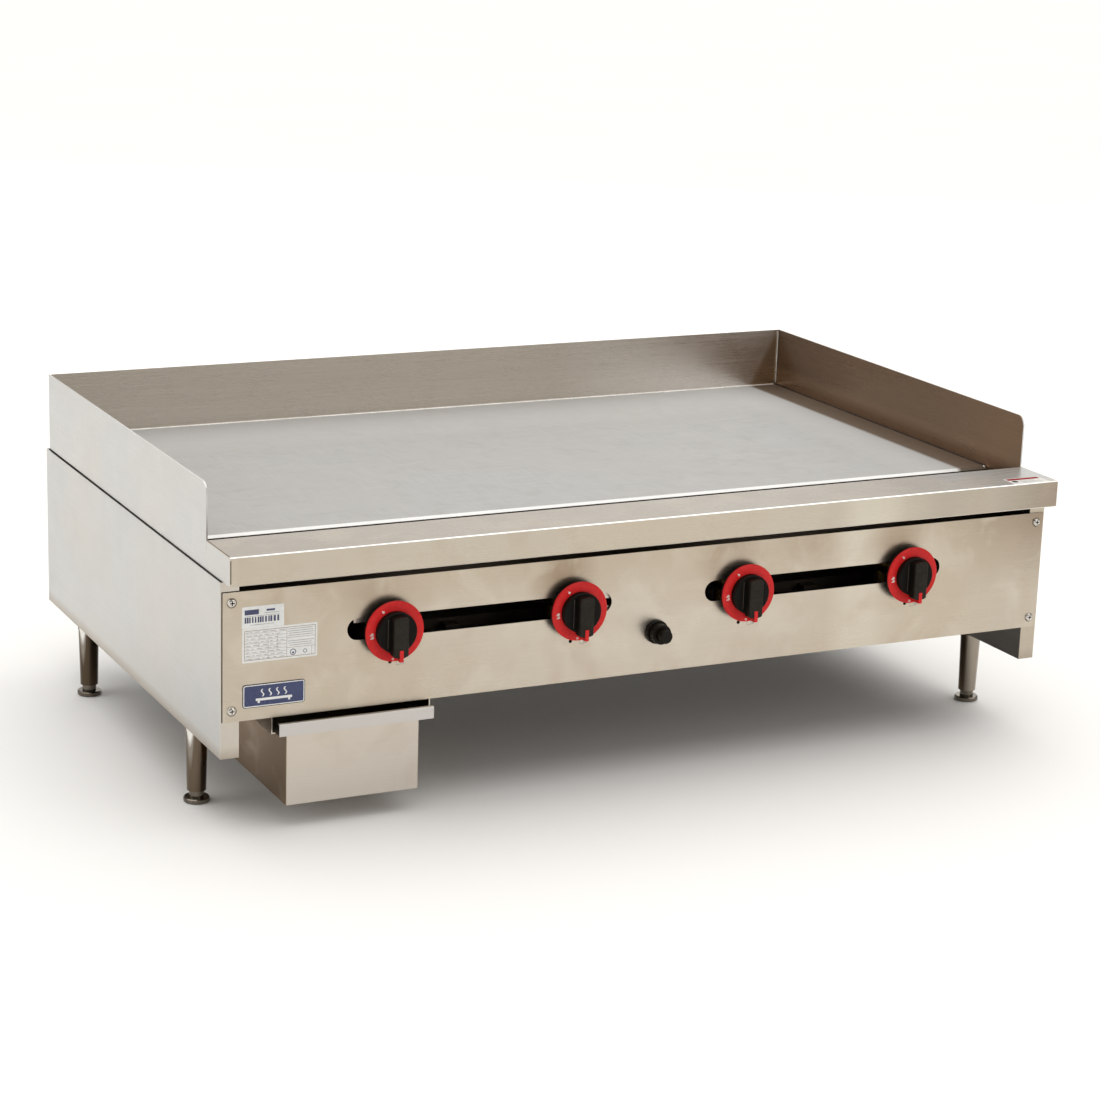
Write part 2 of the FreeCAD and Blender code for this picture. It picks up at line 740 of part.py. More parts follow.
def drip_tray():
    """The removable grease tray: an open box with flanges that hang on the runners."""
    wall = D.tray_wall
    half = D.tray_width / 2
    front = -D.tray_front
    rear = front + D.tray_length
    body = new_body(D.tray_x, 0, 0)
    walls = new_sketch(body, "XY", D.tray_bottom)
    add_rectangle(walls, (-half, front), (half, rear))
    pad(body, walls, D.tray_top - D.tray_bottom)
    flange = new_sketch(body, "XY", D.tray_top - D.sheet)
    add_rectangle(flange, (-half - D.tray_flange, -D.lip_front + D.sheet), (half + D.tray_flange, rear))
    pad(body, flange, D.sheet)
    inside = new_sketch(body, "XY", D.tray_top)
    add_rectangle(inside, (-half + wall, front + wall), (half - wall, rear - wall))
    pocket(body, inside, D.tray_top - D.tray_bottom - wall)

    def box_corner(middle, along):
        return abs(along.z) > 0.99 and near(abs(middle.x), half) and middle.z < D.tray_top.value - 3

    round_edges(body, 1.5, box_corner)
    return keep(body, "drip_tray")


def tray_pull():
    """The turned-up strip along the front of the tray, which serves as its pull."""
    top = D.tray_top + D.lip_height - D.sheet
    low = D.tray_top - D.sheet
    front = -D.lip_front
    body = profile_piece("YZ", [
        (front, low), (front + D.sheet, low), (front + D.sheet, top - D.sheet),
        (front + 5, top - D.sheet), (front + 5, top), (front, top)], D.lip_width, at=(D.tray_x, 0, 0))

    def top_bend(middle, along):
        return abs(along.x) > 0.99 and near(middle.y, front) and near(middle.z, top)

    round_edges(body, 1.2, top_bend)
    return keep(body, "tray_pull")


def tray_runners():
    """Two folded runners that hang under the floor pan and carry the flanges of the tray.

    Their front ends are cut low, so that they pass under the fold of the control panel.
    """
    gap = 2
    edge = D.tray_width / 2 + D.tray_flange + gap
    low = D.tray_top - D.sheet * 2 - 0.5
    top = D.floor_pan_z
    wall = D.sheet
    corners = [(edge, top), (edge, low + wall), (edge - 12, low + wall), (edge - 12, low),
               (edge + wall, low), (edge + wall, top - wall), (edge + 16, top - wall), (edge + 16, top)]
    runners = []
    for side in (-1, 1):
        turned = [(u * side, v) for u, v in corners]
        runner = profile_piece("XZ", turned, D.runner_length, "One side", -D.runner_length - 1,
                               (D.tray_x, 0, 0))
        under_fold = block((D.tray_x - edge * 1.5, 0, D.panel_bottom - 1),
                           (D.tray_x + edge * 1.5, D.panel_return + 1, top + 1))
        runners.append(cut(runner, under_fold))
    return keep(group(runners), "tray_runners")


# Gas train

def pipe(start, length, axis):
    """A straight gas pipe."""
    return cut(rod(D.pipe_radius, length, start, axis),
               rod(D.pipe_radius - D.pipe_wall, length, start, axis))


def manifold_pipe():
    """The manifold: a straight pipe with a plug in its left end."""
    end = D.manifold_half
    tube = pipe((-end, D.manifold_y, D.manifold_z), end * 2, "X")
    plug = rod(D.pipe_radius - D.pipe_wall, 12, (-end, D.manifold_y, D.manifold_z), "X")
    cap = rod(D.pipe_radius + 2, 8, (-end - 8, D.manifold_y, D.manifold_z), "X")
    return keep(fuse(tube, plug, cap), "manifold_pipe")


def feed_pipe():
    """The feed pipe from the rear inlet, with the elbow that meets the manifold."""
    bend = D.inlet_x - D.manifold_half
    centre = (D.manifold_half, D.manifold_y + bend, D.manifold_z)
    turns = []
    for radius in (D.pipe_radius, D.pipe_radius - D.pipe_wall):
        ring = doc.addObject("Part::Torus", "elbow")
        ring.Placement.Rotation = FreeCAD.Rotation(FreeCAD.Vector(0, 0, 1), -90)
        bind(ring, "Radius1", bend)
        bind(ring, "Radius2", radius)
        ring.Angle3 = 90
        place(ring, *centre)
        turns.append(ring)
    elbow = cut(*turns)
    start = D.manifold_y + bend
    run = pipe((D.inlet_x, start, D.manifold_z), D.coupling_y - start, "Y")
    return keep(fuse(elbow, run), "feed_pipe")


def gas_inlet():
    """The inlet: a hexagon coupling that ends flush with the rear panel, and a threaded nipple."""
    face = D.rear_panel_y + D.sheet
    start = D.coupling_y
    hexagon = doc.addObject("Part::Prism", "hexagon")
    hexagon.Polygon = 6
    bind(hexagon, "Circumradius", D.coupling_radius)
    hexagon.Placement.Rotation = AXIS_TURN["Y"]
    bind(hexagon, "Height", face - start)
    place(hexagon, D.inlet_x, start, D.manifold_z)
    nipple = rod(D.inlet_radius, D.body_depth - face, (D.inlet_x, face, D.manifold_z), "Y")
    bore = rod(D.inlet_bore, D.body_depth - start, (D.inlet_x, start, D.manifold_z), "Y")
    return keep(cut(fuse(hexagon, nipple), bore), "gas_inlet")


def manifold_saddles():
    """Saddles between the manifold and its rail."""
    back = D.valve_rear + RAIL_GAP
    half = 10
    rise = D.pipe_radius + 4.5
    saddles = []
    for place_x in (-D.saddle_x, size(0), D.saddle_x):
        base = block((place_x - half, D.manifold_y, D.manifold_z - rise),
                     (place_x + half, back, D.manifold_z + rise))
        hole = rod(D.pipe_radius + 0.1, half * 4, (place_x - half * 2, D.manifold_y, D.manifold_z), "X")
        saddles.append(cut(base, hole))
    return keep(group(saddles), "manifold_saddles")


def valve_body(name, place_x):
    """A brass gas valve that stands on the manifold, hollow for its turning plug."""
    rear = D.valve_rear
    front = D.valve_front
    room = D.plug_radius + D.fit_gap
    body = turned_piece("YZ", "H_Axis", [
        (front, D.stem_bore), (front, 11), (front + 10, 11), (front + 10, D.valve_radius),
        (rear - 10, D.valve_radius), (rear - 10, 8), (rear, 8), (rear, 2), (rear - 16, 2),
        (rear - 16, room), (front + 14, room), (front + 14, D.stem_bore)], (place_x, 0, D.knob_z))
    pipe_top = D.manifold_z + D.pipe_radius - D.knob_z
    leg = new_sketch(body, "XY", pipe_top)
    add_circle(leg, 0, D.manifold_y, 8)
    pad(body, leg, -11 - pipe_top)
    return keep(body, name)


def valve_plug(name, place_x):
    """The plug that turns in a valve, with a bore in which the stem slides."""
    start = D.valve_front + 15
    return keep(turned_piece("YZ", "H_Axis", [
        (start + 24, 0), (start + 24, D.stem_bore), (start, D.stem_bore), (start, D.plug_radius),
        (start + 30, D.plug_radius), (start + 30, 0)], (place_x, 0, D.knob_z)), name)


def valve_stem(name, place_x):
    """The stem, with a flat at its front end, that joins a knob to its plug."""
    front = D.hub_front - 2.5
    shaft = rod(D.stem_shaft, D.valve_front + 29 + front, (place_x, -front, D.knob_z), "Y")
    flat = block((place_x - 5, -front - 1, D.knob_z + 2.8), (place_x + 5, -front + 11, D.knob_z + 6))
    return keep(cut(shaft, flat), name)


def injectors(valve_places):
    """Brass gas jets on the rear ends of the valves."""
    jets = []
    for place_x in valve_places:
        start = (place_x, D.valve_rear, D.knob_z)
        jets.append(cut(rod(6, 12, start, "Y"), rod(1, 12, start, "Y")))
    return keep(group(jets), "injectors")


def pilot_screws():
    """Slotted pilot adjusters in the front of the manifold."""
    start = 22
    end = D.manifold_y - D.pipe_radius
    screws = []
    for place_x in (-D.knob_outer_x, -D.knob_inner_x - D.pilot_shift, D.knob_inner_x - D.pilot_shift,
                    D.knob_outer_x):
        screw = rod(4, end - start, (place_x, start, D.pilot_z), "Y")
        slot = block((place_x - 5, start - 1, D.pilot_z - 0.6), (place_x + 5, start + 1.5, D.pilot_z + 0.6))
        screws.append(cut(screw, slot))
    return keep(group(screws), "pilot_screws")


def burner_solid(place_x, wall):
    """The outside of a burner, or with a wall thickness its inside."""
    radius = D.burner_radius - wall
    front = D.burner_front
    mouth = D.burner_mouth
    waist = D.burner_waist
    middle = front + D.header_depth / 2
    pieces = [
        cone(D.mouth_radius - wall, D.throat_radius - wall, waist - mouth, (place_x, mouth, D.knob_z)),
        rod(D.throat_radius - wall, front - waist + 4, (place_x, waist, D.knob_z), "Y"),
        block((place_x - D.burner_half - radius, front + wall, D.knob_z - radius),
              (place_x + D.burner_half + radius, front + D.header_depth - wall, D.knob_z + radius))]
    for side in (-1, 1):
        start = (place_x + D.burner_half * side, middle, D.knob_z)
        pieces.append(rod(radius, D.burner_rear - middle - wall, start, "Y"))
    if wall:
        pieces.append(rod(D.mouth_radius - wall, 1, (place_x, mouth - 1, D.knob_z), "Y"))
    return fuse(*pieces)


def burner(name, place_x):
    """A steel burner: a mixing throat, a header and two tubes under the plate."""
    return keep(cut(burner_solid(place_x, 0), burner_solid(place_x, D.burner_wall)), name)


def pilot_assemblies(valve_places):
    """A pilot hood, a thermocouple and a spark electrode on a bracket, for each burner."""
    shelf = D.knob_z + 34
    assemblies = []
    for place_x in valve_places:
        centre = place_x - 30
        foot = D.knob_z + D.burner_radius
        bracket = block((centre - 20, 152, shelf), (centre + 20, 168, shelf + 2))
        riser = block((centre - 20, 166, foot), (centre + 20, 168, shelf))
        pins = [rod(radius, reach, (centre + shift, 158, shelf - drop), "Z")
                for radius, reach, shift, drop in ((5, 22, 0, 0), (3, 40, -13, 12), (2, 42, 13, 14))]
        assemblies.append(fuse(bracket, riser, *pins))
    return keep(group(assemblies), "pilot_assemblies")


# Controls

def knob_grip(name, place_x):
    """The black grip: a round base with a raised bar across it, bored for the stem."""
    back = size(9)
    boss = size(23.8)
    body = turned_piece("YZ", "H_Axis", [
        (-D.hub_front + 2.4, 0), (-D.hub_front + 2.4, D.hub_bore), (-back, D.hub_bore), (-back, boss),
        (-D.skirt_front, boss), (-D.skirt_front, D.hub_radius), (-D.hub_front + 1.2, D.hub_radius),
        (-D.hub_front, D.hub_radius - 1.2), (-D.hub_front, 0)], (place_x, 0, D.knob_z))
    bar = new_sketch(body, "XZ", D.hub_front)
    half = D.grip_half
    radius = D.grip_radius
    drop = D.grip_drop
    rise = (radius.value ** 2 - half.value ** 2) ** 0.5
    for side in (-1, 1):
        ends = [point(half * side, size(rise) * end - drop) for end in (-1, 1)]
        bar.addGeometry(Part.LineSegment(*ends))
    for side in (-1, 1):
        through = [point(half * end, size(rise) * side - drop) for end in (-1, 1)]
        through.insert(1, point(size(0), radius * side - drop))
        bar.addGeometry(Part.Arc(*through))
    left, right, low, high = range(4)
    for arc in (low, high):
        bar.addConstraint(Sketcher.Constraint("PointOnObject", arc, 3, -2))
        fix(bar, "DistanceY", (-1, 1, arc, 3), -drop)
        fix(bar, "Radius", (arc,), radius)
    for line, arc, line_end in ((left, low, 1), (left, high, 2), (right, low, 1), (right, high, 2)):
        corner = bar.getPoint(line, line_end)
        arc_end = 1 if (bar.getPoint(arc, 1) - corner).Length < 0.01 else 2
        bar.addConstraint(Sketcher.Constraint("Coincident", line, line_end, arc, arc_end))
    for line, side in ((left, -1), (right, 1)):
        bar.addConstraint(Sketcher.Constraint("Vertical", line))
        fix(bar, "DistanceX", (-1, 1, line, 1), half * side)
    pad(body, bar, D.grip_front - D.hub_front)
    round_edges(body, 3, lambda middle, along: abs(along.y) > 0.99 and near(abs(middle.x), half))
    round_edges(body, 1.8, lambda middle, along: near(middle.y, -D.grip_front))
    return keep(body, name)


def knob_skirt(name, place_x):
    """The red skirt, with the pointer that rises from it along the grip's lower end."""
    inner = size(24.1)
    front = D.skirt_front
    outer = D.skirt_radius
    body = turned_piece("YZ", "H_Axis", [
        (-front, inner), (-front, outer - 1.2), (-front + 1, outer), (-front + D.skirt_thick, outer),
        (-front + D.skirt_thick, inner)], (place_x, 0, D.knob_z))
    half = D.pointer_half
    reach = D.grip_front + 0.5
    end = -(D.grip_drop + D.grip_radius + 0.2)
    low = end - D.pointer_thick
    stalk = new_sketch(body, "XZ", front - 1)
    add_rectangle(stalk, (-half, low), (half, end))
    pad(body, stalk, reach - front + 1)
    tip = new_sketch(body, "XZ", D.grip_front + 0.02)
    add_rectangle(tip, (-half, low), (half, low + D.pointer_length))
    pad(body, tip, 0.48)
    return keep(body, name)


def igniter():
    """The push igniter: barrel behind the panel, collar in front of it, and the button."""
    at = (D.igniter_x, 0, D.igniter_z)
    thread = D.igniter_hole / 2 - 0.5
    bore = D.shank_radius + 0.5
    flange = D.barrel_flange
    barrel = D.barrel_radius
    keep(turned_piece("YZ", "H_Axis", [
        (-6, bore), (-6, thread), (0.3, thread), (0.3, flange), (3.3, flange), (3.3, barrel),
        (D.barrel_end, barrel), (D.barrel_end, 0), (16, 0), (16, bore)], at), "igniter_body")
    panel = -D.sheet
    inner = thread + 0.2
    outer = D.collar_radius
    step = outer - 2.6
    front = -D.collar_front
    mouth = D.button_radius + 0.3
    keep(turned_piece("YZ", "H_Axis", [
        (panel, inner), (panel, outer), (-7, outer), (-8, outer - 1), (-8, step), (front + 1, step),
        (front, step - 0.8), (front, mouth), (-6.5, mouth), (-6.5, inner)], at), "igniter_collar")
    cap = D.button_radius
    face = -D.button_front
    shank = D.shank_radius
    keep(turned_piece("YZ", "H_Axis", [
        (face, 0), (face, cap - 1.2), (face + 1.2, cap), (-13, cap), (-13, shank), (2, shank),
        (2, 0)], at), "igniter_button")


def panel_screws():
    """Four cross-head pan screws in the control panel."""
    spots = [(D.screw_x * side, place_z) for side in (-1, 1) for place_z in (D.screw_low_z, D.screw_high_z)]
    radius = D.screw_head / 2
    top = -D.screw_rise
    shaft = D.screw_shaft
    screws = []
    for place_x, place_z in spots:
        screw = turned_piece("YZ", "H_Axis", [
            (top, 0), (top, radius * 0.55), (top + 0.8, radius * 0.85), (-0.9, radius), (0, radius),
            (0, shaft), (4, shaft), (4, 0)], (place_x, -D.sheet, place_z))
        recess = new_sketch(screw, "XZ", D.screw_rise)
        arm = D.recess_arm
        thin = D.recess_half
        add_outline(recess, [(-thin, -arm), (thin, -arm), (thin, -thin), (arm, -thin), (arm, thin),
                             (thin, thin), (thin, arm), (-thin, arm), (-thin, thin), (-arm, thin),
                             (-arm, -thin), (-thin, -thin)])
        pocket(screw, recess, 1.6)
        screws.append(screw)
    return keep(group(screws), "panel_screws")


def maker_plate():
    """A small enamelled plate on the control panel, with round corners and no lettering."""
    body = new_body()
    face = new_sketch(body, "XZ", D.sheet)
    add_rectangle(face, (D.badge_left, D.badge_low), (D.badge_right, D.badge_high))
    pad(body, face, D.badge_thick)
    round_edges(body, 3.5, lambda middle, along: abs(along.y) > 0.99)
    return keep(body, "badge_plate")


# Legs

def leg(name, place_x, place_y):
    """A tapered leg with a stud into the side box and a bore for its foot."""
    collar = size(4)
    bore = D.stem_radius + D.fit_gap
    top = D.body_bottom
    return keep(turned_piece("XZ", "V_Axis", [
        (0, top + 18), (5, top + 18), (5, top), (D.leg_top_radius, top),
        (D.leg_top_radius, top - collar), (D.leg_top_radius - 0.6, top - collar),
        (D.leg_low_radius, D.leg_low_z), (bore, D.leg_low_z), (bore, top - 30), (0, top - 30)],
        (place_x, place_y, 0)), name)


def foot(name, place_x, place_y):
    """A levelling foot: a disc and the stem that screws into the leg."""
    rim = size(1.2)
    return keep(turned_piece("XZ", "V_Axis", [
        (0, 0), (D.foot_radius - rim, 0), (D.foot_radius, rim), (D.foot_radius, D.foot_thick - rim),
        (D.foot_radius - rim, D.foot_thick), (D.stem_radius, D.foot_thick),
        (D.stem_radius, D.foot_stem_top), (0, D.foot_stem_top)], (place_x, place_y, 0)), name)


def build():
    valves = {"left_outer": -D.knob_outer_x, "left_inner": -D.knob_inner_x,
              "right_inner": D.knob_inner_x, "right_outer": D.knob_outer_x}
    places = list(valves.values())
    for side_name, side in SIDES:
        side_panel("%s_side_panel" % side_name, side)
        side_splash("%s_splash" % side_name, side)
    front_panel()
    rear_panel()
    floor_pan()
    manifold_rail()
    burner_rail()
    griddle_plate()
    back_splash()
    front_ledge()
    grease_trough()
    tray_runners()
    drip_tray()
    tray_pull()
    manifold_pipe()
    feed_pipe()
    gas_inlet()
    manifold_saddles()
    injectors(places)
    pilot_screws()
    pilot_assemblies(places)
    igniter()
    panel_screws()
    maker_plate()
    for where, place_x in valves.items():
        valve_body("valve_body_" + where, place_x)
        valve_plug("valve_plug_" + where, place_x)
        valve_stem("valve_stem_" + where, place_x)
        burner("burner_" + where, place_x)
        knob_grip("knob_grip_" + where, place_x)
        knob_skirt("knob_skirt_" + where, place_x)
    for side_name, side in SIDES:
        for end, place_y in (("front", D.leg_front_y), ("rear", D.leg_rear_y)):
            leg("leg_%s_%s" % (end, side_name), D.leg_x * side, place_y)
            foot("foot_%s_%s" % (end, side_name), D.leg_x * side, place_y)


def check():
    """Stop if anything in the document failed or a sub-part isn't a sound solid."""
    for item in doc.Objects:
        if "Invalid" in item.State or "Error" in item.State:
            owners = [owner.Label for owner in item.InList]
            raise RuntimeError("%s in %s failed: %s" % (item.Name, owners, item.State))
    for item in parts:
        if item.Shape.isNull() or not item.Shape.isValid() or not item.Shape.Solids:
            raise RuntimeError("%s has no sound shape" % item.Label)


build()
doc.recompute()
check()
os.makedirs("parts", exist_ok=True)
for item in parts:
    item.Shape.exportStep("parts/%s.step" % item.Label)
print("%d sub-parts" % len(parts))
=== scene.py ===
"""Looks for the flat top griddle: node materials for the CAD pieces, labels, welds, light and camera."""
import math
import random

import bmesh
import bpy
from mathutils import Matrix, Vector


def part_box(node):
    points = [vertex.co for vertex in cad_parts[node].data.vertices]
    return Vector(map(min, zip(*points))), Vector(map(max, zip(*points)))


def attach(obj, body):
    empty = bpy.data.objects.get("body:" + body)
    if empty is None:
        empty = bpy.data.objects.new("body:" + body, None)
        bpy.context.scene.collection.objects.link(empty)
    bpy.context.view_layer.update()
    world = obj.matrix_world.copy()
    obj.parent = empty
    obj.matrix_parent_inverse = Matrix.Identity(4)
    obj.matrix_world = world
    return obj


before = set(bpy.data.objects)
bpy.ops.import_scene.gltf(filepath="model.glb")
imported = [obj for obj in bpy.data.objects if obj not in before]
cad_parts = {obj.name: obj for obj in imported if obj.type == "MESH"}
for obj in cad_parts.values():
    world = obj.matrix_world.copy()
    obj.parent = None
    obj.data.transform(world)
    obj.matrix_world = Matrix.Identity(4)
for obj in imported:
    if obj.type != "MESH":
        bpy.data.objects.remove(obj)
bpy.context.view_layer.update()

MM = 0.001
RNG = random.Random(7)
INK_THICK = 0.03  # mm of print on a label, a panel or a knob
PAPER_THICK = 0.16  # mm of a paper label
LEG_GLOW_SIDE = (-0.82, -0.57, 0)  # the way that the pale reflection on the left legs faces


# Colours

def tone(red, green, blue):
    """A screen colour of 0 to 255 as linear RGBA."""
    linear = []
    for value in (red, green, blue):
        part = value / 255
        linear.append(part / 12.92 if part <= 0.04045 else ((part + 0.055) / 1.055) ** 2.4)
    return (*linear, 1)


# Materials

class Recipe:
    """One node material: a Principled shader and the nodes that vary it over the surface."""

    def __init__(self, name, **sockets):
        self.material = bpy.data.materials.new(name)
        self.material.use_nodes = True
        self.tree = self.material.node_tree
        self.shader = self.tree.nodes["Principled BSDF"]
        self.coordinates = self.tree.nodes.new("ShaderNodeTexCoord").outputs["Object"]
        for socket, value in sockets.items():
            self.shader.inputs[socket.replace("_", " ")].default_value = value

    def node(self, kind, values=(), links=()):
        node = self.tree.nodes.new(kind)
        for socket, value in values:
            node.inputs[socket].default_value = value
        for socket, source in links:
            self.tree.links.new(source, node.inputs[socket])
        return node

    def noise(self, stretch, detail=2.0, distortion=0.0):
        """Noise with so many cells per metre along X, Y and Z."""
        mapping = self.node("ShaderNodeMapping", [("Scale", stretch)], [("Vector", self.coordinates)])
        noise = self.node("ShaderNodeTexNoise",
                          [("Scale", 1.0), ("Detail", detail), ("Distortion", distortion)],
                          [("Vector", mapping.outputs["Vector"])])
        return noise.outputs["Fac"]

    def span(self, source, low, high, start=0.3, end=0.7):
        """The source's values from start to end, moved to low to high."""
        node = self.node("ShaderNodeMapRange", [
            ("From Min", start), ("From Max", end), ("To Min", low), ("To Max", high)],
            [("Value", source)])
        return node.outputs["Result"]

    def math(self, operation, first, second):
        node = self.tree.nodes.new("ShaderNodeMath")
        node.operation = operation
        for socket, value in zip(node.inputs, (first, second)):
            if isinstance(value, (int, float)):
                socket.default_value = value
            else:
                self.tree.links.new(value, socket)
        return node.outputs["Value"]

    def mix(self, factor, first, second):
        node = self.tree.nodes.new("ShaderNodeMix")
        node.data_type = "RGBA"
        self.tree.links.new(factor, node.inputs["Factor"])
        for name, value in (("A", first), ("B", second)):
            socket = next(s for s in node.inputs if s.name == name and s.type == "RGBA")
            if isinstance(value, tuple):
                socket.default_value = value
            else:
                self.tree.links.new(value, socket)
        return next(s for s in node.outputs if s.type == "RGBA")

    def colour(self, source):
        self.tree.links.new(source, self.shader.inputs["Base Color"])

    def rough(self, source):
        self.tree.links.new(source, self.shader.inputs["Roughness"])

    def bump(self, height, strength, depth):
        node = self.node("ShaderNodeBump", [("Strength", strength), ("Distance", depth)],
                         [("Height", height)])
        self.tree.links.new(node.outputs["Normal"], self.shader.inputs["Normal"])


def stretched(along, fine, coarse):
    """Cells per metre: coarse along the grain's axis, fine across it."""
    return tuple(coarse if axis == along else fine for axis in "XYZ")


def brushed(name, light, dark, rough, along="X", relief=0.10, faces=(), stains=(), dull=None):
    """Brushed sheet steel with grain, streaks, soft clouding and faint smudges.

    faces holds masks, each with two more colours for the faces that it picks: painted light and shade.
    stains holds cells per metre, a colour and the most of it there is.  dull is a mask and the metallic
    value there.
    """
    recipe = Recipe(name, Metallic=1.0)
    fine = recipe.noise(stretched(along, 1500, 9))
    streak = recipe.noise(stretched(along, 210, 1.6), 3)
    cloud = recipe.noise((3.5, 3.5, 5), 2, 0.4)
    smudge = recipe.noise((17, 17, 21), 5, 0.8)
    tint = recipe.math("ADD", recipe.math("MULTIPLY", streak, 0.25), recipe.math("MULTIPLY", fine, 0.75))
    base = recipe.mix(recipe.span(tint, 0, 1, 0.3, 0.7), dark, light)
    warm = tuple(value * factor for value, factor in zip(light[:3], (0.985, 0.95, 0.90))) + (1,)
    base = recipe.mix(recipe.span(cloud, 0, 0.7, 0.42, 0.66), base, warm)
    # Painted light and shade: each mask gives its faces a lighter or darker colour.
    for mask, face_light, face_dark in faces:
        face = recipe.mix(recipe.span(tint, 0, 1, 0.3, 0.7), face_dark, face_light)
        base = recipe.mix(mask(recipe), base, face)
    for cells, shade, most in stains:
        patch = recipe.noise((cells, cells, cells), 4, 0.6)
        base = recipe.mix(recipe.span(patch, 0, most, 0.5, 0.66), base, shade)
    recipe.colour(base)
    if dull:
        mask, metallic = dull
        recipe.tree.links.new(recipe.span(mask(recipe), 1, metallic, 0, 1),
                              recipe.shader.inputs["Metallic"])
    worn = recipe.math("ADD", recipe.math("MULTIPLY", fine, 0.6), recipe.math("MULTIPLY", smudge, 0.4))
    recipe.rough(recipe.span(worn, rough[0], rough[1], 0.35, 0.65))
    recipe.bump(fine, relief, 0.0003)
    return recipe.material


def facing(axis, low, high):
    """How far a face looks along an axis, for Recipe.mix: 0 below low, 1 above high."""
    def build(recipe):
        geometry = recipe.tree.nodes.new("ShaderNodeNewGeometry")
        parts = recipe.node("ShaderNodeSeparateXYZ", (), [("Vector", geometry.outputs["True Normal"])])
        return recipe.span(parts.outputs[axis], 0, 1, low, high)
    return build


def reaching(axis, low, high, most=1.0):
    """How far a spot lies along an axis, in mm, for Recipe.mix: 0 at low, most at high."""
    def build(recipe):
        place = recipe.node("ShaderNodeSeparateXYZ", (), [("Vector", recipe.coordinates)])
        return recipe.span(place.outputs[axis], 0, most, low * MM, high * MM)
    return build


def near(point, inside, outside, most=1.0):
    """How near a spot lies to a point in metres: most within inside mm, 0 past outside mm."""
    def build(recipe):
        away = recipe.node("ShaderNodeVectorMath", [(1, point)], [(0, recipe.coordinates)])
        away.operation = "DISTANCE"
        return recipe.span(away.outputs["Value"], most, 0, inside * MM, outside * MM)
    return build


def slanted(rise, low, high, most=1.0):
    """Like reaching along X, with a border that leans: rise mm further in X for each mm in Z."""
    def build(recipe):
        place = recipe.node("ShaderNodeSeparateXYZ", (), [("Vector", recipe.coordinates)])
        lean = recipe.math("MULTIPLY", place.outputs["Z"], rise)
        return recipe.span(recipe.math("SUBTRACT", place.outputs["X"], lean), 0, most, low * MM, high * MM)
    return build


def both(first, *others):
    """Where masks meet."""
    def build(recipe):
        product = first(recipe)
        for other in others:
            product = recipe.math("MULTIPLY", product, other(recipe))
        return product
    return build


def teardrop(towards, top, bottom):
    """A pale reflection on an upright round leg: widest at the height top and gone at bottom, in mm."""
    def build(recipe):
        geometry = recipe.tree.nodes.new("ShaderNodeNewGeometry")
        facing_it = recipe.node("ShaderNodeVectorMath", [(1, towards)], [(0, geometry.outputs["Normal"])])
        facing_it.operation = "DOT_PRODUCT"
        place = recipe.node("ShaderNodeSeparateXYZ", (), [("Vector", recipe.coordinates)])
        needed = recipe.span(place.outputs["Z"], 1.0, 0.88, bottom * MM, top * MM)
        return recipe.span(recipe.math("SUBTRACT", facing_it.outputs["Value"], needed), 0, 1, 0, 0.05)
    return build


def cast(name, light, dark, rough, metallic=1.0, cells=240, relief=0.25, depth=0.0002, sunk=None,
         **sockets):
    """A turned, drawn or moulded surface with even mottling, and painted shade behind the depth sunk."""
    recipe = Recipe(name, Metallic=metallic, **sockets)
    mottle = recipe.noise((cells, cells, cells), 4, 0.3)
    broad = recipe.noise((cells / 12, cells / 12, cells / 12), 3, 0.5)
    mixed = recipe.math("ADD", recipe.math("MULTIPLY", mottle, 0.5), recipe.math("MULTIPLY", broad, 0.5))
    base = recipe.mix(recipe.span(mixed, 0, 1, 0.38, 0.62), dark, light)
    if sunk is not None:
        # Painted shade: all that lies behind the depth sunk is darkened.
        place = recipe.node("ShaderNodeSeparateXYZ", (), [("Vector", recipe.coordinates)])
        behind = recipe.span(place.outputs["Y"], 0, 1, sunk, sunk + 4 * MM)
        base = recipe.mix(behind, base, tuple(value * 0.4 for value in dark[:3]) + (1,))
    recipe.colour(base)
    recipe.rough(recipe.span(mixed, rough[1], rough[0], 0.35, 0.65))
    grit = recipe.noise((cells * 9, cells * 9, cells * 9), 2)
    recipe.bump(grit, relief, depth)
    return recipe.material


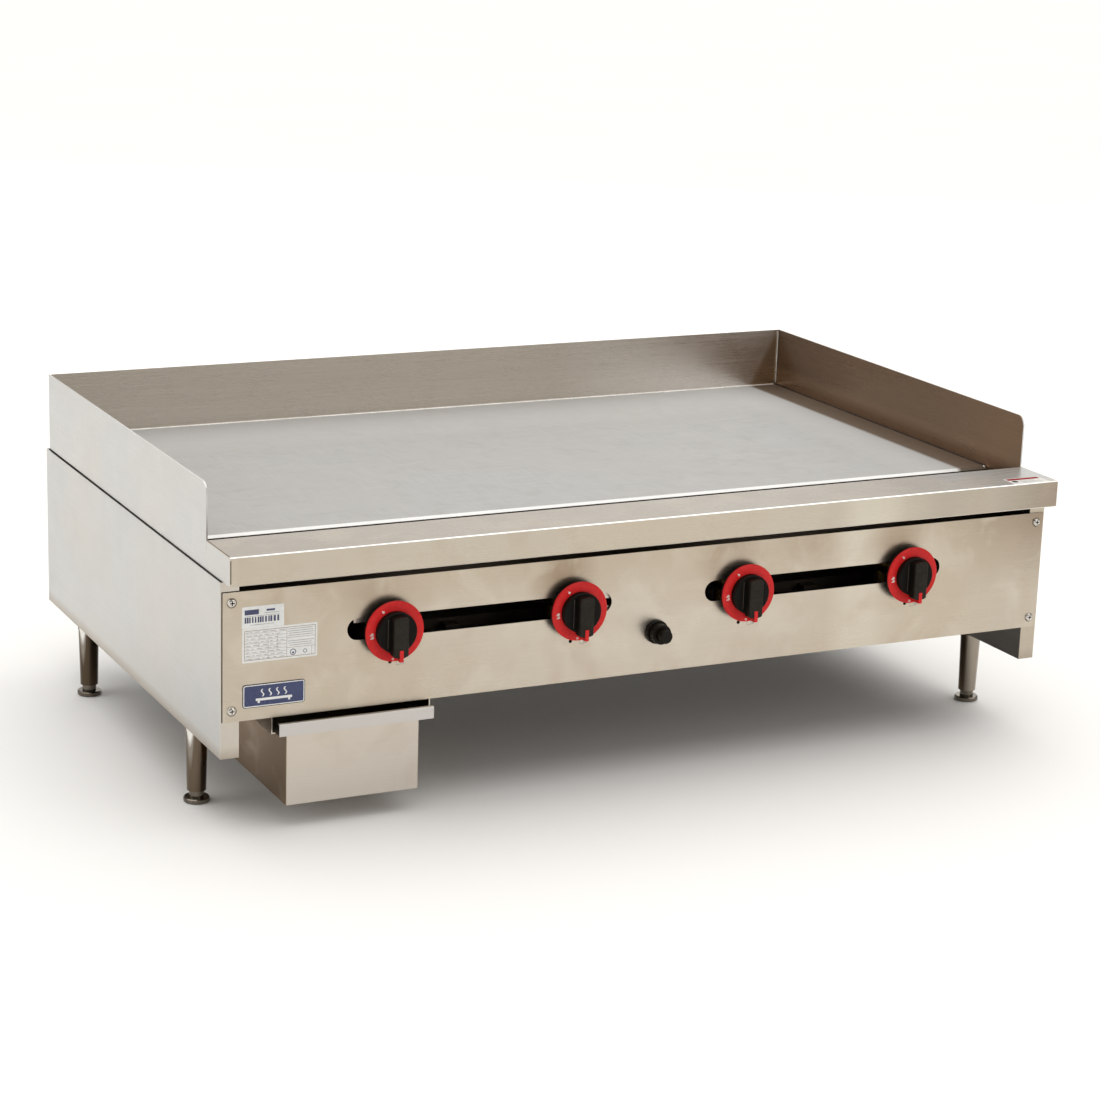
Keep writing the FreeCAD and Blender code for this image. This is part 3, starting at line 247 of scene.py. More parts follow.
def ground_plate(name):
    """The machine ground cooking surface: crossing fine scratches, pale clouds and a painted highlight on
    the bevel.

    A brown strip along the right splash is a painted shadow of the splash.  The steel is also painted
    lighter towards the back and towards the right.
    """
    recipe = Recipe(name, Metallic=0.3)
    lines = recipe.noise((9, 1300, 900), 2)
    cross = recipe.noise((700, 14, 900), 2)
    grit = recipe.noise((520, 520, 520), 3)
    cloud = recipe.noise((2.6, 3.4, 3), 3, 0.6)
    stain = recipe.noise((22, 26, 20), 5, 1.2)
    scratch = recipe.math("ADD", recipe.math("MULTIPLY", lines, 0.6), recipe.math("MULTIPLY", cross, 0.4))
    base = recipe.mix(recipe.span(scratch, 0, 1, 0.38, 0.62), tone(159, 158, 155), tone(174, 173, 171))
    base = recipe.mix(recipe.span(cloud, 0, 0.8, 0.40, 0.64), base, tone(167, 164, 160))
    base = recipe.mix(recipe.span(stain, 0, 0.35, 0.55, 0.75), base, tone(156, 152, 147))
    # Painted light: lighter towards the back and towards the right splash, and a painted highlight on the
    # front bevel.
    base = recipe.mix(reaching("Y", 200, 382, 0.75)(recipe), base, tone(198, 198, 197))
    base = recipe.mix(reaching("X", 460, 545, 0.8)(recipe), base, tone(190, 189, 187))
    base = recipe.mix(facing("Z", 0.98, 0.80)(recipe), base, tone(250, 250, 248))
    # Painted shadow of the right splash: a brown band along it.
    place = recipe.node("ShaderNodeSeparateXYZ", (), [("Vector", recipe.coordinates)])
    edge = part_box("right_splash")[0].x
    strip = recipe.span(place.outputs["X"], 0, 0.94, edge - 52 * MM, edge - 44 * MM)
    base = recipe.mix(strip, base, tone(98, 79, 60))
    recipe.colour(base)
    recipe.rough(recipe.span(recipe.math("ADD", recipe.math("MULTIPLY", grit, 0.5),
                                         recipe.math("MULTIPLY", stain, 0.5)), 0.50, 0.64, 0.35, 0.65))
    recipe.bump(recipe.math("ADD", recipe.math("MULTIPLY", grit, 0.5),
                            recipe.math("MULTIPLY", scratch, 0.5)), 0.16, 0.0003)
    return recipe.material


# WARM is the steel's grey warmed for the front panel: painted light, for the warm light on the front.
WARM = (tone(193, 184, 169), tone(187, 176, 161))
NEUTRAL = (tone(202, 202, 200), tone(193, 192, 190))
# Painted shade for the inner faces of the splashes.
INNER_PAINTED_SHADE = (tone(160, 143, 124), tone(146, 128, 109))
# Painted light on the legs: grey and near-white painted reflections, a pale painted lit side and a dark
# painted shaded side.
LEG_GREY = (tone(150, 142, 133), tone(136, 128, 119))
LEG_GLINT = (tone(238, 236, 232), tone(224, 221, 216))
LEG_PALE = (tone(154, 145, 133), tone(142, 133, 121))
LEG_SHADE = (tone(80, 66, 54), tone(64, 52, 42))


def knob_middle(where):
    """The x and z of a knob's turning axis, in metres."""
    low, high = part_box("knob_skirt_" + where)
    return (low.x + high.x) / 2, high.z - (high.x - low.x) / 2


KNOBS = ("left_outer", "left_inner", "right_inner", "right_outer")
PANEL_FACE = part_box("front_panel")[0].y
SKIRT_FACE = PANEL_FACE - 15 * MM
SIDE_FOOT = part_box("left_side_panel")[0].z / MM
front_faces = facing("Y", -0.9, -0.97)
top_faces = facing("Z", 0.93, 0.99)
# Painted shade: a soft brown patch above and left of each knob.
knob_painted_shades = [(near((x - 20 * MM, PANEL_FACE, z + 50 * MM), 12, 58, most),
          tone(158, 139, 118), tone(149, 130, 109))
         for (x, z), most in zip(map(knob_middle, KNOBS), (0.45, 0.85, 0.7, 0.65))]

# Painted light and shade on the front panel: lighter low in the middle, a painted shadow under the ledge, a
# lighter band right of the middle, darker patches near the top and at the right end, and painted shade
# above each knob.
steel_front = brushed("steel_front", *WARM, (0.26, 0.38), faces=[
    (both(reaching("X", -460, -120), reaching("X", 300, 60), reaching("Z", 300, 225)),
     tone(201, 192, 179), tone(195, 184, 169)),
    (reaching("Z", 262, 306, 0.6), tone(186, 173, 154), tone(181, 167, 148)),
    (both(reaching("X", 255, 290), reaching("X", 372, 332)), tone(205, 197, 182), tone(198, 189, 173)),
    (near((224 * MM, PANEL_FACE, 306 * MM), 8, 56, 0.6), tone(172, 156, 137), tone(165, 148, 129)),
    (near((-505 * MM, PANEL_FACE, 305 * MM), 10, 75, 0.5), tone(172, 156, 137), tone(165, 148, 129)),
    (both(reaching("X", 410, 590), reaching("Z", 200, 312)), tone(156, 142, 125), tone(147, 132, 115)),
    *knob_painted_shades], stains=[(13, tone(182, 165, 146), 0.34), (17, tone(207, 200, 186), 0.34)])
# Painted light and shade on the ledge: painted highlights on the bends and on the faces looking down, a
# darker top, and lighter and darker zones along its front.
steel_ledge = brushed("steel_ledge", tone(192, 184, 170), tone(186, 177, 162), (0.24, 0.36), faces=[
    (facing("Z", 0.20, 0.45), tone(253, 252, 250), tone(246, 244, 240)),
    (top_faces, tone(159, 150, 138), tone(150, 141, 129)),
    (both(top_faces, reaching("X", 380, 480)), tone(166, 164, 160), tone(157, 155, 151)),
    (both(front_faces, reaching("X", 340, 420)), tone(179, 171, 158), tone(173, 164, 150)),
    (both(front_faces, reaching("X", 500, 596)), tone(158, 147, 132), tone(150, 138, 123)),
    (both(front_faces, reaching("X", 250, 285), reaching("X", 360, 322)), tone(203, 196, 182),
     tone(196, 188, 173)),
    (facing("Z", -0.30, -0.60), tone(246, 243, 238), tone(236, 232, 225))],
    stains=[(15, tone(178, 163, 146), 0.30)], dull=(both(top_faces, reaching("X", 400, 480)), 0.25))
# Painted light and shade on the side panels: the front flange is a lighter copy on the left and a darker
# copy on the right, the bottom is painted darker, and the inner faces carry painted shade.
steel_side = {side: brushed("steel_side_" + side, *NEUTRAL, (0.30, 0.42), along="Y", faces=[
    (facing("Y", -0.4, -0.9), *front),
    (reaching("Z", SIDE_FOOT + 16, SIDE_FOOT + 1, 0.8), tone(170, 159, 145), tone(161, 149, 135)),
    (facing("X", *inward), tone(140, 136, 131), tone(128, 124, 119))])
    for side, inward, front in (("left", (0.4, 0.9), (tone(203, 196, 186), tone(193, 186, 175))),
                                ("right", (-0.4, -0.9), (tone(190, 180, 164), tone(180, 169, 152))))}
# The tray's left-facing side carries painted shade.
steel_tray = brushed("steel_tray", tone(206, 199, 190), tone(200, 192, 181), (0.30, 0.42), faces=[
    (facing("X", -0.4, -0.9), tone(139, 117, 92), tone(128, 106, 82))],
    stains=[(15, tone(190, 176, 160), 0.35)])
steel_pull = brushed("steel_pull", tone(200, 198, 197), tone(189, 186, 184), (0.26, 0.38))
steel_rear = brushed("steel_rear", tone(205, 198, 188), tone(190, 182, 171), (0.34, 0.46))
# The left splash's inner face carries painted shade.
splash_left = brushed("splash_left", *NEUTRAL, (0.26, 0.38), along="Y", faces=[
    (facing("X", 0.2, 0.8), *INNER_PAINTED_SHADE)])
# Painted shade and light on the right splash: brown shade on the inner face, darker towards the back,
# lighter towards the front and near the plate, and a darker top edge.
splash_right = brushed("splash_right", *NEUTRAL, (0.26, 0.36), along="Y", relief=0.05, faces=[
    (facing("X", -0.2, -0.8), tone(145, 121, 101), tone(137, 114, 94)),
    (both(facing("X", -0.2, -0.8), reaching("Y", 120, 380)), tone(112, 92, 75), tone(104, 85, 69)),
    (both(facing("X", -0.2, -0.8), reaching("Y", -60, -260)), tone(158, 130, 106), tone(150, 123, 99)),
    (both(facing("X", -0.2, -0.8), reaching("Z", 384, 354, 0.8)), tone(190, 160, 134), tone(182, 152, 126)),
    (facing("Z", 0.5, 0.9), tone(122, 104, 86), tone(112, 94, 77))])
# Painted light on the back splash: lighter towards the right, a warm painted shade band at the right end,
# and a lighter top edge.
splash_back = brushed("splash_back", *NEUTRAL, (0.25, 0.33), relief=0.04, faces=[
    (facing("Y", -0.6, -0.97), tone(207, 197, 186), tone(200, 190, 178)),
    (both(facing("Y", -0.6, -0.97), reaching("X", 200, 540)), tone(252, 247, 241), tone(244, 238, 230)),
    (both(facing("Y", -0.6, -0.97), slanted(0.51, 374, 384)), tone(214, 195, 170), tone(206, 187, 162)),
    (facing("Z", 0.5, 0.9), tone(226, 225, 223), tone(216, 215, 213))])
plate_steel = ground_plate("plate_steel")
# A duller inner sheet, darkened further as painted shade inside the body.
inner_sheet = brushed("inner_sheet", tone(104, 96, 86), tone(84, 77, 68), (0.42, 0.55))
burner_steel = cast("burner_steel", tone(120, 116, 110), tone(92, 88, 84), (0.45, 0.6))
pipe_black = cast("pipe_black", tone(46, 44, 42), tone(30, 29, 28), (0.45, 0.6), metallic=0.6)
brass = cast("brass", tone(196, 160, 96), tone(168, 130, 70), (0.28, 0.4))
leg_glow = [(teardrop(LEG_GLOW_SIDE, 96, 42), *LEG_GREY),
            (teardrop(LEG_GLOW_SIDE, 106, 74), *LEG_GLINT)]
# Each leg's own two tones are lighter and darker copies of one chrome, as painted light and shade, with
# painted reflections and a painted side.
leg_looks = {
    "front_left": (tone(114, 101, 87), tone(92, 80, 68),
                   [*leg_glow, (facing("X", 0.02, 0.16), *LEG_SHADE)]),
    "rear_left": (tone(92, 80, 67), tone(72, 61, 50),
                  [*leg_glow, (facing("X", -0.30, -0.16), *LEG_SHADE)]),
    "right": (tone(104, 91, 77), tone(82, 70, 58), [(facing("X", -0.90, -0.70), *LEG_PALE)])}
leg_chrome = {leg: brushed("leg_chrome_" + leg, light, dark, (0.08, 0.18), along="Z", relief=0.05,
                           faces=lights) for leg, (light, dark, lights) in leg_looks.items()}
foot_chrome = cast("foot_chrome", tone(132, 124, 113), tone(90, 82, 73), (0.16, 0.28), cells=60,
                   relief=0.04)
screw_steel = cast("screw_steel", tone(232, 229, 224), tone(178, 172, 163), (0.12, 0.24), cells=400,
                   relief=0.08)
# The knob hub behind the grip bar's front takes painted shade.
knob_black = cast("knob_black", tone(46, 42, 36), tone(36, 33, 28), (0.42, 0.54), metallic=0.0,
                  cells=300, relief=0.3, depth=0.0001, IOR=1.36, Specular_IOR_Level=0.15,
                  sunk=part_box("knob_grip_left_outer")[0].y + 1 * MM)
knob_red = cast("knob_red", tone(212, 31, 31), tone(196, 24, 25), (0.4, 0.54), metallic=0.0,
                cells=220, relief=0.18, depth=0.0001, IOR=1.34)
igniter_black = cast("igniter_black", tone(17, 12, 5), tone(8, 6, 2), (0.4, 0.5), metallic=0.0,
                     cells=300, relief=0.2, depth=0.0001, IOR=1.25)
badge_blue = cast("badge_blue", tone(52, 62, 104), tone(45, 54, 94), (0.2, 0.3), metallic=0.0,
                  cells=160, relief=0.05, depth=0.0001, IOR=1.45, Coat_Weight=0.2)
paper = cast("label_paper", tone(238, 238, 236), tone(225, 225, 223), (0.42, 0.55), metallic=0.0,
             cells=180, relief=0.06, depth=0.0001)
ink_navy = cast("label_ink_navy", tone(74, 78, 112), tone(58, 62, 92), (0.5, 0.6), metallic=0.0,
                cells=500, relief=0.05, depth=0.0001)
ink_grey = cast("label_ink_grey", tone(150, 149, 148), tone(118, 117, 116), (0.5, 0.6), metallic=0.0,
                cells=500, relief=0.05, depth=0.0001)
ink_brown = cast("label_ink_brown", tone(164, 142, 124), tone(138, 118, 102), (0.5, 0.6), metallic=0.0,
                 cells=500, relief=0.05, depth=0.0001)
ink_red = cast("label_ink_red", tone(146, 14, 22), tone(116, 10, 16), (0.75, 0.85), metallic=0.0,
               cells=500, relief=0.05, depth=0.0001, Specular_IOR_Level=0.05)
# A dimmed copy of the label paper: painted shade on the ledge label.
paper_shaded = cast("label_paper_dim", tone(214, 211, 206), tone(200, 197, 192), (0.45, 0.55), metallic=0.0,
                 cells=180, relief=0.06, depth=0.0001, Specular_IOR_Level=0.2)
white_enamel = cast("white_enamel", tone(238, 238, 236), tone(222, 222, 220), (0.25, 0.35),
                    metallic=0.0, cells=300, relief=0.04, depth=0.0001)
mark_pale = cast("mark_pale", tone(232, 214, 208), tone(206, 182, 174), (0.4, 0.5), metallic=0.0,
                 cells=500, relief=0.05, depth=0.0001)
weld = cast("weld_metal", tone(170, 160, 146), tone(120, 108, 94), (0.24, 0.4), cells=420, relief=0.2)
# Near-white weld metal: a painted highlight on the corner, rear and front-right beads.
weld_highlight = cast("weld_highlight", tone(250, 249, 246), tone(226, 223, 217), (0.3, 0.45), metallic=0.5,
                   cells=420, relief=0.1)
# Brown for the dark seams at the ledge's left end, and for the painted shadow round each screw head.
seam_and_shadow_brown = cast("seam_and_shadow_brown", tone(104, 90, 76), tone(84, 72, 60), (0.6, 0.7), metallic=0.0, cells=420,
                  relief=0.1, Specular_IOR_Level=0.2)
# A dark copy of the weld metal: painted shade on the right plate seam.
weld_shaded = cast("weld_shaded", tone(74, 60, 47), tone(50, 40, 31), (0.4, 0.55), metallic=0.6, cells=420,
                 relief=0.2)
# Black for print, and for painted shade in recesses, gaps and behind the knob skirts.
black_ink_and_shade = cast("black_ink_and_shade", tone(14, 12, 10), tone(8, 7, 6), (0.6, 0.7), metallic=0.0, cells=300,
                   relief=0.2, depth=0.0001, IOR=1.3)
# A painted highlight along each side of a knob's grip bar.
grip_edge_highlight = cast("grip_edge_highlight", tone(84, 72, 62), tone(62, 53, 46), (0.4, 0.5), metallic=0.0, cells=400,
                 relief=0.1, depth=0.0001)

FINISHES = {
    "front_panel": steel_front, "front_ledge": steel_ledge, "left_side_panel": steel_side["left"],
    "right_side_panel": steel_side["right"], "left_splash": splash_left, "right_splash": splash_right,
    "back_splash": splash_back, "rear_panel": steel_rear, "floor_pan": inner_sheet,
    "manifold_rail": inner_sheet, "burner_rail": inner_sheet, "grease_trough": inner_sheet,
    "tray_runners": steel_tray, "griddle_plate": plate_steel, "drip_tray": steel_tray,
    "tray_pull": steel_pull, "burner": burner_steel, "manifold_pipe": pipe_black,
    "feed_pipe": pipe_black, "manifold_saddles": inner_sheet, "gas_inlet": brass,
    "injectors": brass, "pilot_screws": brass, "pilot_assemblies": burner_steel,
    "igniter": igniter_black, "panel_screws": screw_steel, "valve": brass, "knob_grip": knob_black,
    "knob_skirt": knob_red, "leg_front_left": leg_chrome["front_left"],
    "leg_rear_left": leg_chrome["rear_left"], "leg_front_right": leg_chrome["right"],
    "leg_rear_right": leg_chrome["right"], "foot": foot_chrome, "badge_plate": badge_blue,
}


def finish_frame():
    """Gives every CAD piece the finish that its own name, or the first words of it, asks for."""
    for name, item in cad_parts.items():
        words = name.split("_")
        key = next(k for k in ("_".join(words[:n]) for n in range(len(words), 0, -1)) if k in FINISHES)
        for slot in item.material_slots:
            slot.material = FINISHES[key]


# Mesh pieces

def add_piece(name, mesh, material, body):
    """Puts a mesh in the scene, riding on a CAD body."""
    piece = bpy.data.objects.new(name, mesh)
    bpy.context.scene.collection.objects.link(piece)
    mesh.materials.append(material)
    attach(piece, body)
    return piece


def layer(name, shapes, to_world, thick, material, body):
    """Flat shapes of small thickness.  A shape is a loop of (u, v) in mm, or a pair of loops.

    A pair of loops with the same number of points is the band between them.
    """
    bm = bmesh.new()
    for shape in shapes:
        loops = shape if isinstance(shape[0][0], (tuple, list)) else [shape]
        rings = []
        for height in (0.0, thick):
            rings.append([[bm.verts.new(to_world(u, v, height)) for u, v in loop] for loop in loops])
        low, high = rings
        if len(loops) == 1:
            bm.faces.new(list(reversed(low[0])))
            bm.faces.new(high[0])
        else:
            outer, inner = 0, 1
            count = len(loops[0])
            for i in range(count):
                j = (i + 1) % count
                bm.faces.new((high[outer][i], high[outer][j], high[inner][j], high[inner][i]))
                bm.faces.new((low[outer][j], low[outer][i], low[inner][i], low[inner][j]))
        for number in range(len(loops)):
            count = len(loops[number])
            for i in range(count):
                j = (i + 1) % count
                bm.faces.new((low[number][i], low[number][j], high[number][j], high[number][i]))
    bmesh.ops.recalc_face_normals(bm, faces=bm.faces)
    mesh = bpy.data.meshes.new(name)
    bm.to_mesh(mesh)
    bm.free()
    return add_piece(name, mesh, material, body)


def rectangle(left, low, right, high):
    return [(left, low), (right, low), (right, high), (left, high)]


def rounded(left, low, right, high, radius, steps=6):
    """A rectangle with round corners."""
    loop = []
    for turn, (x, z) in enumerate(((right - radius, high - radius), (left + radius, high - radius),
                                   (left + radius, low + radius), (right - radius, low + radius))):
        for step in range(steps + 1):
            angle = math.pi / 2 * (turn + step / steps)
            loop.append((x + radius * math.cos(angle), z + radius * math.sin(angle)))
    return loop


def circle(x, z, radius, steps=28):
    return [(x + radius * math.cos(math.tau * i / steps), z + radius * math.sin(math.tau * i / steps))
            for i in range(steps)]


def frame_band(left, low, right, high, line):
    """The outline of a rectangle."""
    return [rectangle(left, low, right, high),
            rectangle(left + line, low + line, right - line, high - line)]


def flame(x, z, height, turn=0.0):
    """A small flame outline, its foot at the bottom."""
    sides = []
    steps = 14
    for side in (1, -1):
        run = []
        for i in range(steps + 1):
            t = i / steps
            half = 0.36 * height * math.sin(math.pi * t ** 0.62) * (1 - t * 0.35)
            sway = 0.10 * height * math.sin(math.tau * 0.8 * t)
            run.append((side * half + sway, (t - 0.45) * height))
        sides.append(run if side > 0 else run[::-1])
    loop = sides[0][:-1] + sides[1][:-1]
    c, s = math.cos(turn), math.sin(turn)
    return [(x + u * c - v * s, z + u * s + v * c) for u, v in loop]


def upright(y):
    """Places (x, z) in mm on a face that looks to the front at this depth."""
    return lambda u, v, height: Vector((u * MM, y - height * MM, v * MM))


def level(z):
    """Places (x, y) in mm on a face that looks up."""
    return lambda u, v, height: Vector((u * MM, v * MM, z + height * MM))


def bead(name, start, end, radius, pitch, material):
    """A weld bead: a rippled, slightly wandering run of metal between two points in mm."""
    first, last = Vector(start), Vector(end)
    along = (last - first)
    length = along.length
    along.normalize()
    side = along.orthogonal().normalized()
    up = along.cross(side)
    rings = max(4, int(length / pitch * 3))
    sides = 10
    bm = bmesh.new()
    previous = None
    for ring in range(rings + 1):
        distance = length * ring / rings
        ripple = 1 + 0.10 * math.sin(math.tau * distance / pitch) + RNG.uniform(-0.05, 0.05)
        taper = min(1.0, 0.35 + distance / 4, 0.35 + (length - distance) / 4)
        centre = first + along * distance + side * RNG.uniform(-0.08, 0.08)
        loop = [bm.verts.new((centre + (side * math.cos(math.tau * i / sides)
                                        + up * math.sin(math.tau * i / sides))
                              * radius * ripple * taper) * MM) for i in range(sides)]
        if previous:
            for i in range(sides):
                j = (i + 1) % sides
                bm.faces.new((previous[i], previous[j], loop[j], loop[i])).smooth = True
        else:
            bm.faces.new(list(reversed(loop)))
        previous = loop
    bm.faces.new(previous)
    bmesh.ops.recalc_face_normals(bm, faces=bm.faces)
    mesh = bpy.data.meshes.new(name)
    bm.to_mesh(mesh)
    bm.free()
    return add_piece(name, mesh, material, "frame")


# Labels and marks

def panel_labels():
    """The service label and the rating table: blank forms with rules and blocks, no lettering."""
    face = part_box("front_panel")[0].y
    top = face - PAPER_THICK * MM
    layer("service_label", [rounded(-582, 267.2, -527, 295.4, 1)], upright(face), PAPER_THICK, paper,
          "frame")
    layer("rating_label", [rounded(-581.5, 223.5, -483, 267, 1)], upright(face), PAPER_THICK, paper,
          "frame")
    blocks = [rectangle(-578.5, 284.8, -560, 291.2), rectangle(-550, 288, -539, 290.6)]
    left = -578.5
    while left < -534:
        wide = RNG.uniform(1.8, 3.0)
        blocks.append(rectangle(left, 274.3, left + wide, 281.7))
        left += wide + RNG.choice((0.7, 0.7, 1.8))
    layer("service_label_blocks", blocks, upright(top), INK_THICK, ink_navy, "frame")
    text = [rectangle(-578.5, 282.6, -533, 283.1), rectangle(-553, 285.4, -533, 286),
            rectangle(-571, 271.4, -540, 271.9)]
    left, right, low, high, line = -579, -485.5, 226, 264.5, 0.45
    split = -523.5
    rules = [frame_band(left, low, right, high, 0.7), rectangle(split, low, split + line, high)]
    rows = 9
    for row in range(1, rows):
        z = low + (high - low) * row / rows
        rules.append(rectangle(left, z, split, z + line * 0.8))
    for x, share in ((-560, 0.45), (-548, 0.0), (-536, 0.25)):
        rules.append(rectangle(x, low + (high - low) * share, x + line * 0.8, high - 8.5))
    for z in (237.5, 250.5):
        rules.append(rectangle(split, z, right, z + line))
    rules.append(rectangle(-490.5, low, -490.5 + line, 237.5))
    for row in range(rows):
        z = low + (high - low) * (row + 0.35) / rows
        x = left + 2
        while x < split - 8:
            wide = RNG.uniform(3, 9)
            text.append(rectangle(x, z, min(x + wide, split - 2), z + 0.6))
            x += wide + RNG.uniform(1.5, 5)
    for z in (240.2, 243, 245.8, 253, 255.8, 258.6, 261.4):
        indent = RNG.uniform(1.5, 6)
        text.append(rectangle(split + indent, z, right - RNG.uniform(2, 7), z + 0.6))
    layer("rating_label_rules", rules, upright(top), INK_THICK, ink_brown, "frame")
    layer("label_text_bars", text, upright(top), INK_THICK, ink_grey, "frame")
    rings = [[circle(-515, 231.6, 4.1), circle(-515, 231.6, 3.1)],
             [circle(-499, 231.6, 2.6), circle(-499, 231.6, 1.8)], circle(-515, 230.8, 1.4)]
    layer("rating_label_rings", rings, upright(top), INK_THICK, ink_navy, "frame")


def badge_emblem():
    """A generic griddle sign on the enamelled plate: four waves rising from a slab with two feet."""
    low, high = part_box("badge_plate")
    face = low.y
    left, right, bottom, top = low.x / MM, high.x / MM, low.z / MM, high.z / MM
    rings = [rounded(left + inset, bottom + inset, right - inset, top - inset, 3.6 - inset)
             for inset in (0.1, 0.8, 2.0)]
    border = rings[1:]
    layer("badge_rim", [rings[:2]], upright(face), 0.12, black_ink_and_shade, "frame")
    middle = (left + right) / 2
    slab = rounded(middle - 24, bottom + 8.2, middle + 24, bottom + 11.4, 1)
    feet = [rectangle(middle + side * 20 - 1.4, bottom + 5.4, middle + side * 20 + 1.4, bottom + 8.2)
            for side in (-1, 1)]
    waves = []
    for shift in (-15, -5, 5, 15):
        run = [(middle + shift + 1.5 * math.sin(t * math.tau / 9), bottom + 13.6 + t * 1.05)
               for t in range(10)]
        waves.append([(x - 0.9, z) for x, z in run] + [(x + 0.9, z) for x, z in run[::-1]])
    layer("badge_sign", [border, slab, *feet, *waves], upright(face), 0.12, white_enamel, "frame")


def ledge_label():
    """The notice on the ledge's right end: a white form with a red band and plain rules."""
    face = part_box("front_ledge")[1].z
    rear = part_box("front_ledge")[1].y / MM
    low, high = rear - 85.5, rear - 56.5
    # The ledge label's paper is the dimmed copy, as painted shade.
    layer("ledge_label", [rounded(536, low, 594, high, 1)], level(face), PAPER_THICK, paper_shaded,
          "frame")
    top = face + PAPER_THICK * MM
    layer("ledge_label_band", [rectangle(538.5, high - 9.5, 591, high - 1.8)], level(top), INK_THICK,
          ink_red, "frame")
    layer("ledge_label_dot", [circle(545, low + 12.5, 4.6)], level(top), INK_THICK, black_ink_and_shade, "frame")
    rules = []
    for row in range(5):
        y = low + 3.0 + row * 3.1
        rules.append(rectangle(552, y, RNG.uniform(575, 590), y + 0.9))
    layer("ledge_label_rules", rules, level(top), INK_THICK, ink_grey, "frame")


def knob_marks():
    """What is printed on the knobs and below them, and the parts of a knob that only its looks need.

    Each skirt carries two flame marks and an off mark, and a black ring behind it as painted shade.  The
    grip has a painted highlight line at each side of its bar.  Two small squares stand on the panel below
    each knob.
    """
    squares = []
    for where in KNOBS:
        centre_x, centre_z = (value / MM for value in knob_middle(where))
        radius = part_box("knob_skirt_" + where)[1].x / MM - centre_x
        ring = radius - 8
        marks = []
        for angle, height in ((187, 5.8), (122, 5.0)):
            turn = math.radians(angle)
            x, z = centre_x + ring * math.cos(turn), centre_z + ring * math.sin(turn)
            lean = turn - math.pi / 2
            for shift in (-2.1, 2.1) if angle > 180 else (0,):
                marks.append(flame(x - shift * math.sin(turn), z + shift * math.cos(turn), height, lean))
        turn = math.radians(266)
        x, z = centre_x + (radius - 3.5) * math.cos(turn), centre_z + (radius - 3.5) * math.sin(turn)
        marks.append([circle(x, z, 1.6), circle(x, z, 0.7)])
        rides = "knob_" + where
        layer("skirt_marks_" + where, marks, upright(SKIRT_FACE), 0.05, mark_pale, rides)
        # A black ring behind each skirt: painted shade under the skirt.
        back = [circle(centre_x, centre_z, radius - 0.4, 48), circle(centre_x, centre_z, 24.3, 48)]
        layer("skirt_back_" + where, [back], upright(SKIRT_FACE + 2.6 * MM), -3.4, black_ink_and_shade, rides)
        # Painted highlight lines at each side of the grip bar.
        lines = [rectangle(centre_x + side * 13.2 - 0.4, centre_z - 19, centre_x + side * 13.2 + 0.4,
                           centre_z + 19) for side in (-1, 1)]
        layer("grip_lines_" + where, lines, upright(SKIRT_FACE - 9 * MM), 0.25, grip_edge_highlight, rides)
        for shift, half in ((11.5, 3.0), (17.6, 1.9)):
            x, z = centre_x + shift, centre_z - 46.5
            squares.append(frame_band(x - half, z - half, x + half, z + half, 0.6))
        squares.append(circle(centre_x + 17.6, centre_z - 46.5, 0.8))
    layer("panel_marks", squares, upright(PANEL_FACE), INK_THICK, ink_grey, "frame")


def screw_marks():
    """Painted shade in the cross recesses of the panel screws, and a painted shadow line round each head.
    """
    low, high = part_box("panel_screws")
    face = low.y
    inset = 5.75
    crosses, rings = [], []
    for x in (low.x / MM + inset, high.x / MM - inset):
        for z in (low.z / MM + inset, high.z / MM - inset):
            crosses += [rectangle(x - 3.0, z - 0.7, x + 3.0, z + 0.7),
                        rectangle(x - 0.7, z - 3.0, x + 0.7, z - 0.7),
                        rectangle(x - 0.7, z + 0.7, x + 0.7, z + 3.0)]
            rings.append([circle(x + 0.5, z - 0.5, 6.4), circle(x, z, 5.5)])
    layer("screw_crosses", crosses, upright(face), INK_THICK, black_ink_and_shade, "frame")
    layer("screw_shadows", rings, upright(PANEL_FACE), INK_THICK, seam_and_shadow_brown, "frame")


def slot_tabs():
    """Bright sheet tabs behind the left slot, seen in its two ends."""
    low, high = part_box("knob_skirt_left_outer")
    top = high.z / MM - 22
    left = low.x / MM - 9
    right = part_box("knob_skirt_left_inner")[1].x / MM
    tabs = [rectangle(left, top - 7, left + 20, top), rectangle(right, top - 9.5, right + 14, top),
            rectangle(right, top - 28, right + 14, top - 19.5)]
    layer("slot_tabs", tabs, upright(PANEL_FACE + 5 * MM), 1, steel_tray, "frame")


def welds():
    """Beads round the plate, up the two rear corners of the splashes and at the plate's front right.  The
    near-white beads are a painted highlight and the right plate seam is painted shade.
    """
    low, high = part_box("griddle_plate")
    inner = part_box("left_splash")[1].x / MM
    front, rear = low.y / MM, high.y / MM
    top = high.z / MM
    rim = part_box("left_splash")[1].z / MM
    for name, side, seam in (("left", 1, weld), ("right", -1, weld_shaded)):
        x = (inner + 0.9) * side
        bead("plate_seam_" + name, (x, front + 6, top + 0.2), (x, rear - 2, top + 0.2), 1.5, 3.2, seam)
        bead("corner_weld_" + name, (x, rear - 0.4, top + 2), (x, rear - 0.4, rim - 2), 0.9, 3.0,
             weld_highlight)
    bead("plate_seam_rear", (inner + 3, rear - 0.3, top + 0.2), (-inner - 3, rear - 0.3, top + 0.2), 1.4,
         3.2, weld_highlight)
    bead("plate_corner_bead", (-inner - 3.2, front + 2, top - 1), (-inner - 3.2, front + 7, top - 1),
         2.2, 3, weld_highlight)


